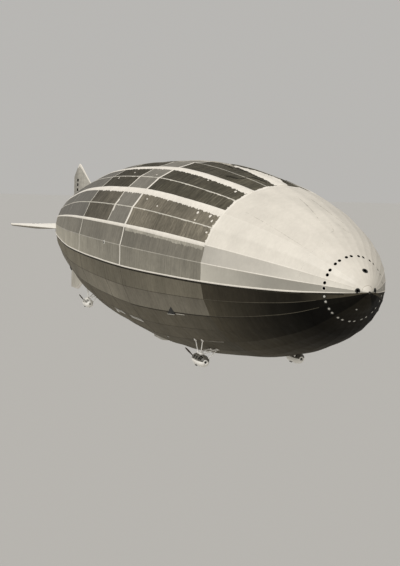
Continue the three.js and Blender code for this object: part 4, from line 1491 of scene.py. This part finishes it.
strutLook = {
    # the saddle on top of a car: from, to and width, then the heights of its foot blocks and of its plate
    "saddle": (2.0, 4.2, 0.7), "blockHeights": (1.0, 1.4), "plateHeights": (1.05, 1.42), "blockHalf": 0.2,
    "plateInset": 0.06, "blockChamfer": 0.05, "plateChamfer": 0.08,
    "feet": ((2.3, 1), (3.9, -1)), "footSide": 0.22, "footHeight": 1.28, "spread": 0.8, "headSink": 0.12,
    # half lengths of the sections: main struts and lesser ones, and their thickness as a share
    "main": (0.18, 0.72), "lesser": (0.13, 0.62), "stayGrow": 1.15, "stayShare": 0.8,
    "stayFoot": (1.25, 0.84, 0.44), "sides": 20,
    "ends": [(0, 0.7), (0.03, 1.0), (0.5, 1.0), (0.97, 1.0), (1.0, 0.8)],
    # collars at a strut's head, its foot and a stay's foot: radius, height
    "headCollar": [(0.34, -0.03), (0.34, 0.03), (0.2, 0.06), (0.16, 0.16)],
    "footCollar": [(0.2, -0.12), (0.24, -0.04), (0.24, 0.08), (0.17, 0.16)],
    "stayCollar": [(0.22, -0.03), (0.22, 0.09), (0.14, 0.14), (0.12, 0.2)],
}
# columns: place, car's middle station, y, z, ridges that carry it, propeller's turn
carPlaces = [
    ("starboard_fore", 44.1, -9.75, -17.75, (156, 144), 45),
    ("port_fore", 44.1, 9.75, -17.75, (204, 216), 92),
    ("starboard_aft", 134.7, -10.0, -18.5, (156, 144), 40),
    ("port_aft", 134.7, 10.0, -18.5, (204, 216), 15),
    ("centre", 158, 0, -17.6, (168, 192), 60),
]
carLine = [np.array(columnOf(carLook["outline"], i)) for i in (0, 1)]
carSlopes = smoothSlopes(*carLine)
modelAxes = np.eye(3)


def carRadius(along):
    return smoothCurve(along, *carLine, carSlopes)


def onCar(car, along, angle, lift=0.0):
    # a car is its front station, y and z; the angle runs from its top round to starboard
    front, y, z = car
    turn = np.radians(angle)
    radius = carRadius(along) + lift
    along = np.broadcast_to(along, np.shape(radius + turn))
    across, up = y - radius * np.sin(turn), z + radius * np.cos(turn)
    return np.stack([stationX(front + along), across * modelScale, up * modelScale], -1)


def byCar(car, along, across, up):
    # a model point beside a car's axis
    return at(car[0] + along, car[1] + across, car[2] + up)


def underCowl(place, turn):
    # whether the dark cowl reaches that far down from the top of the car
    return place not in carLook["plainCars"] and abs(fromCrown(turn)) < carLook["cowlTo"]


def louvreCorners():
    for low, high, fromAngle, toAngle in carLook["louvres"]:
        for side in (1, -1):
            upper, lower = side * fromAngle, side * toAngle
            yield [(low, upper), (high, upper), (high, lower), (low, lower)]


def carShell(place, car):
    maker = PieceMaker()
    alongs = np.concatenate([np.linspace(*stretch) for stretch in carLook["stretches"]])
    turns = np.arange(carLook["sides"]) * 360 / carLook["sides"]
    a, t = np.meshgrid(alongs, turns, indexing="ij")
    outer, inner = onCar(car, a, t), onCar(car, a, t, -carLook["wall"])[::-1]
    cowl = [2 if underCowl(place, turn) else 0 for turn in turns]
    plain, dark = [0] * len(turns), [1] * len(turns)
    outside = len(alongs) - 1
    maker.rings(np.concatenate([outer, inner]), outside * cowl + plain + outside * dark + plain, closed=True)
    # the shell's near-black inside is painted shade behind its louvres
    finishes = ["carPaint", "insideShade", "carCowl"]
    shell = maker.build(f"car_shell_{place}_bowl", finishes, "car_metal", [f"car_shell_{place}"])
    cutters = PieceMaker()
    for corners in louvreCorners():
        cutters.rings([[onCar(car, *corner, lift) for corner in corners] for lift in carLook["louvreCut"]])
    cutHoles(shell, cutters, 1)


def carTrim(place, car):
    # seams take the finish of the shell under them: white below, dark above
    maker = PieceMaker()
    turns = np.arange(carLook["sides"]) * 360 / carLook["sides"]
    for along in carLook["seamRings"]:
        rows = [onCar(car, along + step, turns, lift) for step, lift in carLook["ringSection"]]
        finishes = [int(underCowl(place, turn)) for turn in turns for _ in rows]
        maker.rings(np.stack(rows, 1), finishes, closed=True)
    alongs = np.linspace(*carLook["seamReach"])
    wide = np.degrees(carLook["seamHalf"] / carRadius(alongs))
    for angle in carLook["seamAngles"]:
        rows = [onCar(car, alongs, angle + wide * share, lift) for share, lift in carLook["seamSection"]]
        maker.rings(np.stack(rows, 1), int(underCowl(place, angle)))
    for outline in carLook["turnedRings"]:
        ring = [(car[0] + along, radius) for along, radius in outline]
        maker.turned(ring, car[1:], carLook["lipSides"], closed=True)
    steps = np.linspace(0, 1, carLook["frameSteps"] + 1)
    for corners in louvreCorners():
        for (a0, t0), (a1, t1) in zip(corners, corners[1:] + corners[:1]):
            line = onCar(car, between((a0, a1), steps), between((t0, t1), steps), carLook["frameLift"])
            maker.rod(line, carLook["frame"], 6, 2)
    maker.build(f"car_trim_{place}", ["carPaint", "carCowl", "louvreFrame"], "car_metal")


def carLouvres(place, car):
    maker = PieceMaker()
    for low, high, fromAngle, toAngle in carLook["louvres"]:
        for side in (1, -1):
            for i in range(carLook["slats"]):
                angle = between((fromAngle, toAngle), (i + 0.5) / carLook["slats"])
                maker.rings([
                    [onCar(car, along, side * (angle + tilt), lift) for tilt, lift in carLook["slatSection"]]
                    for along in (low, high)])
    reach = carLook["grilleReach"]
    for i in range(carLook["grilleBars"]):
        offset = reach * (2 * (i + 0.5) / carLook["grilleBars"] - 1)
        span = math.sqrt(reach**2 - offset**2)
        for up in (0, 1):
            along = carLook["grilleAt"] + carLook["grilleStep"] * up
            ends = [(offset, way * span) if up else (way * span, offset) for way in (-1, 1)]
            maker.bar(*(byCar(car, along, *end) for end in ends), carLook["grilleBar"], 6)
    finish = "lidPaint" if place in carLook["plainCars"] else "castIron"
    maker.build(f"car_louvres_{place}", [finish], "engine_iron")


def carPipes(place, car):
    # exhaust stubs below and a grab rail along either side, on short feet
    maker, rails = PieceMaker(), PieceMaker()
    rootLift, tipLift = carLook["exhaustLift"]
    lean, pipe, flare = carLook["exhaustLean"], *carLook["exhaustRadii"]
    low, high = carLook["railLift"]
    for side in (-1, 1):
        for along in carLook["exhausts"]:
            angle = 180 + side * carLook["exhaustTurn"]
            root, tip = onCar(car, along, angle, rootLift), onCar(car, along + lean, angle, tipLift)
            maker.bar(root, tip, pipe, 12, endRadius=flare)
        angle = side * carLook["railTurn"]
        line = [onCar(car, along, angle, high) for along in np.linspace(*carLook["rail"])]
        rails.rod(line, carLook["railRadius"])
        for along in np.linspace(*carLook["railFeet"]):
            rails.bar(onCar(car, along, angle, low), onCar(car, along, angle, high), carLook["railPost"], 6)
    maker.build(f"car_exhausts_{place}", ["castIron"], "engine_iron")
    rails.build(f"car_rails_{place}", ["brightTrim"], "car_metal")


def fairedBar(maker, foot, head, chord, thick):
    # a streamlined strut: an oval section with its long way along the ship
    along = unit(head - foot)
    fore = unit(modelAxes[0] - along[0] * along)
    side = np.cross(along, fore)
    turns = evenTurns(strutLook["sides"])
    ring = np.outer(np.cos(turns), fore) * chord * modelScale
    ring = ring + np.outer(np.sin(turns), side) * thick * modelScale
    maker.rings([foot + (head - foot) * t + ring * size for t, size in strutLook["ends"]])


def addSaddle(maker, car):
    low, high, width = strutLook["saddle"]
    blockHalf, inset = strutLook["blockHalf"], strutLook["plateInset"]
    bottom, top = strutLook["blockHeights"]
    for along, _ in strutLook["feet"]:
        rear, fore = (along + blockHalf, -width / 2, bottom), (along - blockHalf, width / 2, top)
        maker.block(byCar(car, *rear), byCar(car, *fore), strutLook["blockChamfer"])
    bottom, top = strutLook["plateHeights"]
    corners = byCar(car, high, inset - width / 2, bottom), byCar(car, low, width / 2 - inset, top)
    maker.block(*corners, strutLook["plateChamfer"])


def addStay(maker, car, side, head):
    # the stay from a car's flank up to the head of its main strut
    along, out, up = strutLook["stayFoot"]
    root, flank = byCar(car, along, side * out, up), np.array([0, side * out, up]) / math.hypot(out, up)
    chord = strutLook["lesser"][0]
    fairedBar(maker, root, head, chord * strutLook["stayGrow"], chord * strutLook["stayShare"])
    axes = (root, modelAxes[0], np.cross(modelAxes[0], flank), flank)
    maker.rings(discRings(axes, strutLook["stayCollar"]))


def carStruts(place, car, ridges):
    maker = PieceMaker()
    addSaddle(maker, car)
    for along, lean in strutLook["feet"]:
        for ridge in ridges:
            station = car[0] + along - lean * strutLook["spread"]
            head = hullSkin(station, ridge, -strutLook["headSink"])
            side = np.sign(head[1] - car[1] * modelScale)
            foot = byCar(car, along, side * strutLook["footSide"], strutLook["footHeight"])
            heavy = ridge == ridges[0] or car[1] == 0
            chord, share = strutLook["main" if heavy else "lesser"]
            fairedBar(maker, foot, head, chord, chord * share)
            maker.rings(discRings(skinAxes(station, ridge), strutLook["headCollar"]))
            maker.rings(discRings((foot, *modelAxes), strutLook["footCollar"]))
            if heavy and lean > 0:
                addStay(maker, car, side, head)
    maker.build(f"struts_{place}_faired", ["strutPaint"], "strut_metal", [f"struts_{place}"])


propeller = {
    # columns: distance from the hub's axis, chord, thickness, pitch in degrees
    "lines": [
        (0.1, 0.2, 0.18, 62), (0.7, 0.3, 0.12, 46), (1.4, 0.37, 0.08, 30),
        (2.1, 0.31, 0.05, 21), (2.36, 0.2, 0.035, 19), (2.44, 0.08, 0.025, 18),
    ],
    # the blade and the metal sheath on its edge: from, to and sections
    "blade": (0.1, 2.44, 30), "sheath": (1.55, 2.42, 14), "sectionPoints": 24, "camber": 0.35, "hollow": 0.55,
    "sheathGrow": 1.03, "sheathThicker": 1.15, "sheathTo": -0.28,
    # metres aft of the car's front: hub, its cap's tip, and where the shaft meets the engine
    "hubFrom": 6.72, "hubTo": 7.16, "hubTip": 7.52, "engineEnd": 4.153, "hubRadius": 0.24, "shaft": 0.08,
    # radius of both blunt ends, then bevels: metres and share of the hub's radius, metres and radius
    "core": 0.03, "hubEdge": (0.05, 0.9), "tipEdge": (0.02, 0.012),
    # the hub's cap, metres aft of the hub and share of its radius
    "cap": ((-0.03, 1.0), (0, 0.96), (0.15, 0.8), (0.28, 0.42)), "sides": 40,
    "bolts": 8, "boltCircle": 0.17, "bolt": 0.03, "boltReach": (-0.05, 0.02),
}


def bladeSection(reach, hubMiddle, sheath):
    # the points round a blade at a distance from the hub, or round its sheath
    distances = columnOf(propeller["lines"], 0)
    chord, thick, pitch = (np.interp(reach, distances, columnOf(propeller["lines"], i)) for i in (1, 2, 3))
    turns = np.linspace(0, 2 * math.pi, propeller["sectionPoints"], endpoint=False)
    across, up = 0.5 * np.cos(turns), 0.5 * np.sin(turns) * (1 - propeller["camber"] * np.cos(turns))
    up = up * np.where(np.sin(turns) > 0, 1.0, propeller["hollow"])
    if sheath:
        across = np.minimum(across, propeller["sheathTo"])
        chord, thick = chord * propeller["sheathGrow"], thick * propeller["sheathThicker"]
    c, s = cosSin(pitch)
    across, up = across * chord * modelScale, up * thick * modelScale
    heights = np.full(len(turns), reach * modelScale)
    return np.stack([hubMiddle + across * s + up * c, across * c - up * s, heights], -1)


def carPropeller(place, car, turn):
    body = f"propeller_{place}"
    hubFrom, hubTo, hub, shaft = (propeller[key] for key in ("hubFrom", "hubTo", "hubRadius", "shaft"))
    hubMiddle = stationX(car[0] + (hubFrom + hubTo) / 2)
    shift = np.array([0, *car[1:]]) * modelScale
    wood, metal = PieceMaker(), PieceMaker()
    for half in (0, 180):
        for maker, reaches, sheath in ((wood, propeller["blade"], False), (metal, propeller["sheath"], True)):
            sections = [bladeSection(reach, hubMiddle, sheath) for reach in np.linspace(*reaches)]
            maker.rings(turnedAbout(sections, turn + half) + shift)
    wood.build(f"{body}_blades", ["propellerWood"], "propeller_wood", [body], body)
    engineEnd, tip, core = propeller["engineEnd"], propeller["hubTip"], propeller["core"]
    (bevel, rim), (tipBevel, tipRadius) = propeller["hubEdge"], propeller["tipEdge"]
    outline = [(engineEnd, core), (engineEnd, shaft), (hubFrom, shaft), (hubFrom, hub * rim)]
    outline += [(hubFrom + bevel, hub), *((hubTo + along, hub * share) for along, share in propeller["cap"])]
    outline += [(tip - tipBevel, core), (tip, tipRadius)]
    metal.turned([(car[0] + along, radius) for along, radius in outline], car[1:], propeller["sides"])
    for angle in evenTurns(propeller["bolts"]):
        spot = (propeller["boltCircle"] * math.sin(angle), propeller["boltCircle"] * math.cos(angle))
        ends = (byCar(car, hubFrom + step, *spot) for step in propeller["boltReach"])
        metal.bar(*ends, propeller["bolt"], 6)
    metal.build(f"{body}_hub", ["hubMetal"], "propeller_wood", body=body)


for place, station, y, z, ridges, turn in carPlaces:
    car = (station - carLook["length"] / 2, y, z)
    carShell(place, car)
    carTrim(place, car)
    carLouvres(place, car)
    carPipes(place, car)
    carStruts(place, car, ridges)
    carPropeller(place, car, turn)
    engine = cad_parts[f"engine_{place}"]
    engine.data.materials.clear()
    engine.data.materials.append(madeFinishes["castIron"])
print("engine cars made")


# Control car under the hull: a tub below, window walls above
cabin = {
    "rear": 100.4, "front": 93.4, "halfWidth": 1.3, "bow": 1.9, "curve": 24, "wall": 0.1,
    "sideSteps": 12, "sideEnds": (0.5, 0.3), "corner": 0.02,
    "floor": -22.5, "floorThickness": 0.12, "sill": -21.55, "sillGap": 0.003,
    # the tub's outer section: how far in, and height above the floor or below the sill
    "tubFoot": ((0.25, 0.0), (0.06, 0.02), (0.0, 0.12)), "tubRim": ((0.0, -0.03), (0.012, 0.0)),
    "topShare": 0.9975, "topSink": 0.02,      # the walls end this far under the hull's cover
    "windowLow": -21.4, "windowHigh": -20.6, "windowWidth": 0.86, "windowChamfer": 0.03,
    "sideWindows": (96.3, 97.4, 98.5, 99.6), "bowWindows": (-52, 0, 52), "bowCut": (0.04, 0.4),
    "cutReach": 3,
    "frame": 0.05, "frameSteps": 8, "frameLift": 0.012, "paneSink": 0.05, "paneThickness": 0.02,
    "railHeights": (-21.5, -20.5, -21.95), "railHalf": 0.035, "railLift": 0.015,
    "doorAt": 99.0, "doorWide": 0.8, "doorHigh": -21.72, "doorLow": -22.3, "doorLift": 0.01, "doorBar": 0.025,
    # the handrail aft of the door: metres aft of it and out from the wall, above its head, and of its feet
    "handrail": (0.2, 0.08, 0.9), "handrailFeet": (0.05, 0.85), "footBar": 0.02,
}
bowStation = cabin["front"] + cabin["bow"]


def cabinOutline(inset):
    # stations and y round the car, from the rear wall's port end forward
    half, rear = cabin["halfWidth"] - inset, cabin["rear"] - inset
    turns = np.linspace(-math.pi / 2, math.pi / 2, cabin["curve"] + 1)
    (sideRear, sideFore), corner = cabin["sideEnds"], cabin["corner"]
    side = np.linspace(cabin["rear"] - sideRear, bowStation + sideFore, cabin["sideSteps"])
    points = [(rear, -half + corner), (rear - corner, -half), *((s, -half) for s in side)]
    points += [(bowStation - (cabin["bow"] - inset) * math.cos(t), half * math.sin(t)) for t in turns]
    return points + [*((s, half) for s in side[::-1]), (rear - corner, half), (rear, half - corner)]


def cabinRing(inset, z):
    return [at(station, y, z) for station, y in cabinOutline(inset)]


def topRing(inset):
    # just inside the hull's cover
    points = []
    for station, y in cabinOutline(inset):
        radius = hullRadius(station) - cover["sag"]
        z = -math.sqrt(max(radius**2 - y**2, 0)) * cabin["topShare"] - cabin["topSink"]
        points.append(at(station, y, z))
    return points


def windowCutters():
    maker = PieceMaker()
    half, low, high = cabin["windowWidth"] / 2, cabin["windowLow"], cabin["windowHigh"]
    chamfer, reach = cabin["windowChamfer"], cabin["cutReach"]
    for station in cabin["sideWindows"]:
        maker.block(at(station + half, -reach, low), at(station - half, reach, high), chamfer)
    for angle in cabin["bowWindows"]:
        cut = PieceMaker()
        near, far = cabin["bowCut"]
        wide, foot, head = (value * modelScale for value in (half, low, high))
        cut.block((near, -wide, foot), (far, wide, head), chamfer)
        c, s = cosSin(angle)
        x, y, z = np.concatenate(cut.points).T
        maker.add(np.stack([x * c - y * s + stationX(bowStation), x * s + y * c, z], -1), cut.faces)
    maker.block(at(cabin["rear"] + 1, -half, low), at(cabin["rear"] - 1, half, high), chamfer)
    return maker


def addControlCar():
    maker = PieceMaker()
    wall, floor, sill = cabin["wall"], cabin["floor"], cabin["sill"] - cabin["sillGap"]
    rows = [cabinRing(inset, floor + rise) for inset, rise in cabin["tubFoot"]]
    rows += [cabinRing(inset, sill + rise) for inset, rise in cabin["tubRim"]]
    maker.rings([*rows, cabinRing(wall, sill), cabinRing(wall, floor + cabin["floorThickness"])])
    maker.build("control_car_tub_shell", ["cabinPaint"], "control_car_metal", ["control_car_tub"])
    maker = PieceMaker()
    rows = [cabinRing(wall, cabin["sill"]), cabinRing(0.0, cabin["sill"]), topRing(0.0), topRing(wall)]
    maker.rings(rows, closed=True)
    finishes, replaced = ["cabinPaint", "insideShade"], ["control_car_walls"]
    walls = maker.build("control_car_walls_shell", finishes, "control_car_metal", replaced)
    cutHoles(walls, windowCutters())


def windowLine(kind, place, inset):
    # points along a window's width on the wall, as station and y
    half = cabin["windowWidth"] / 2
    steps = np.linspace(-half, half, cabin["frameSteps"] + 1)
    if kind == "side":
        station, side = place
        return [(station + step, side * (cabin["halfWidth"] - inset)) for step in steps]
    if kind == "rear":
        return [(cabin["rear"] - inset, step) for step in steps]
    c, s = cosSin(place)
    long, wide = cabin["bow"] - inset, cabin["halfWidth"] - inset
    points = []
    for step in steps:
        # where the window's line of sight meets the oval bow
        px, py = -s * step, c * step
        a, b = (c / long) ** 2 + (s / wide) ** 2, 2 * (px * c / long**2 + py * s / wide**2)
        t = (-b + math.sqrt(b * b - 4 * a * ((px / long) ** 2 + (py / wide) ** 2 - 1))) / (2 * a)
        points.append((bowStation - px - t * c, py + t * s))
    return points


def addCabinWindows():
    frames, panes = PieceMaker(), PieceMaker()
    places = [("side", (station, side)) for station in cabin["sideWindows"] for side in (-1, 1)]
    places += [("bow", angle) for angle in cabin["bowWindows"]] + [("rear", None)]
    low, high, bar, last = cabin["windowLow"], cabin["windowHigh"], cabin["frame"], cabin["frameSteps"]
    for kind, place in places:
        line = windowLine(kind, place, -cabin["frameLift"])
        for z in (low, high):
            frames.rod([at(*point, z) for point in line], bar)
        for index, share in ((0, 1), (last // 2, 0.5), (last, 1)):
            frames.bar(at(*line[index], low), at(*line[index], high), bar * share, 8)
        sinks = (cabin["paneSink"], cabin["paneSink"] + cabin["paneThickness"])
        outer, inner = (windowLine(kind, place, sink) for sink in sinks)
        panes.rings([[at(*o, low), at(*o, high), at(*i, high), at(*i, low)] for o, i in zip(outer, inner)])
    frames.build("control_car_frames", ["brightTrim"], "control_car_metal")
    panes.build("control_car_panes", ["paneGlass"], "window_glass")


def addCabinRails():
    rails = PieceMaker()
    for z in cabin["railHeights"]:
        rails.rod(cabinRing(-cabin["railLift"], z), cabin["railHalf"], closed=True)
    fore, aft = (cabin["doorAt"] + side * cabin["doorWide"] / 2 for side in (-1, 1))
    low, high, bar = cabin["doorLow"], cabin["doorHigh"], cabin["doorBar"]
    beyond, out, above = cabin["handrail"]
    footLow, footHigh = cabin["handrailFeet"]
    for side in (-1, 1):
        y, handle = (side * (cabin["halfWidth"] + lift) for lift in (cabin["doorLift"], out))
        rails.rod([at(fore, y, low), at(aft, y, low), at(aft, y, high), at(fore, y, high)], bar, closed=True)
        rails.bar(at(aft + beyond, handle, low), at(aft + beyond, handle, high + above), bar, 8)
        for z in (low + footLow, high + footHigh):
            rails.bar(at(aft + beyond, y, z), at(aft + beyond, handle, z), cabin["footBar"], 8)
    rails.build("control_car_rails", ["cabinPaint"], "control_car_metal")


addControlCar()
addCabinWindows()
addCabinRails()
print("control car made")


# Camera, at the photograph's place and angle, and soft studio light
view = {
    "place": (22.35303, -7.11142, 1.50573), "yaw": 2.7931, "pitch": -0.1027, "roll": 0.0309,
    "focalPixels": 965.4428, "imageHeight": 566, "sensor": 36.0, "farthest": 9000,
}


def addCamera():
    yaw, pitch, roll = view["yaw"], view["pitch"], view["roll"]
    forward = np.array([math.cos(pitch) * math.cos(yaw), math.cos(pitch) * math.sin(yaw), math.sin(pitch)])
    right = unit(np.cross(forward, [0, 0, 1]))
    up = np.cross(right, forward)
    rolledRight = math.cos(roll) * right + math.sin(roll) * up
    rolledUp = -math.sin(roll) * right + math.cos(roll) * up
    camera = newObject("camera", bpy.data.cameras.new("camera"))
    camera.data.sensor_width = view["sensor"]
    camera.data.lens = view["focalPixels"] * view["sensor"] / view["imageHeight"]
    camera.data.clip_end = view["farthest"]
    matrix = np.eye(4)
    matrix[:3] = np.stack([rolledRight, rolledUp, -forward, view["place"]], 1)
    camera.matrix_world = Matrix(matrix.tolist())
    bpy.context.scene.camera = camera


studio = {
    "floorDepth": 48.0, "floorReach": 3000.0, "floorColour": (0.46, 0.448, 0.425), "floorRough": 0.9,
    "skyColour": (0.8, 0.785, 0.755), "skyStrength": 0.6,
    "sunStrength": 2.15, "sunFrom": (0.32, -0.55, 0.77), "sunAngle": 25,
}


def addStudio():
    world = bpy.data.worlds.new("studio")
    bpy.context.scene.world = world
    world.use_nodes = True
    sky = world.node_tree.nodes["Background"]
    sky.inputs["Color"].default_value = (*studio["skyColour"], 1)
    sky.inputs["Strength"].default_value = studio["skyStrength"]
    sun = newObject("keyLight", bpy.data.lights.new("keyLight", "SUN"))
    sun.data.energy = studio["sunStrength"]
    sun.data.angle = math.radians(studio["sunAngle"])
    sun.rotation_euler = Vector(studio["sunFrom"]).to_track_quat("Z", "Y").to_euler()
    shader = newFinish("studioFloor")[1]
    shader.inputs["Base Color"].default_value = (*studio["floorColour"], 1)
    shader.inputs["Roughness"].default_value = studio["floorRough"]
    mesh = bpy.data.meshes.new("studio_floor")
    reach, z = studio["floorReach"], -studio["floorDepth"]
    corners = [(-reach, -reach, z), (reach, -reach, z), (reach, reach, z), (-reach, reach, z)]
    mesh.from_pydata(corners, [], [[0, 1, 2, 3]])
    mesh.materials.append(madeFinishes["studioFloor"])
    newObject("studio_floor", mesh)
    bpy.context.scene.view_settings.view_transform = "Standard"


addCamera()
addStudio()
print("camera and studio made")
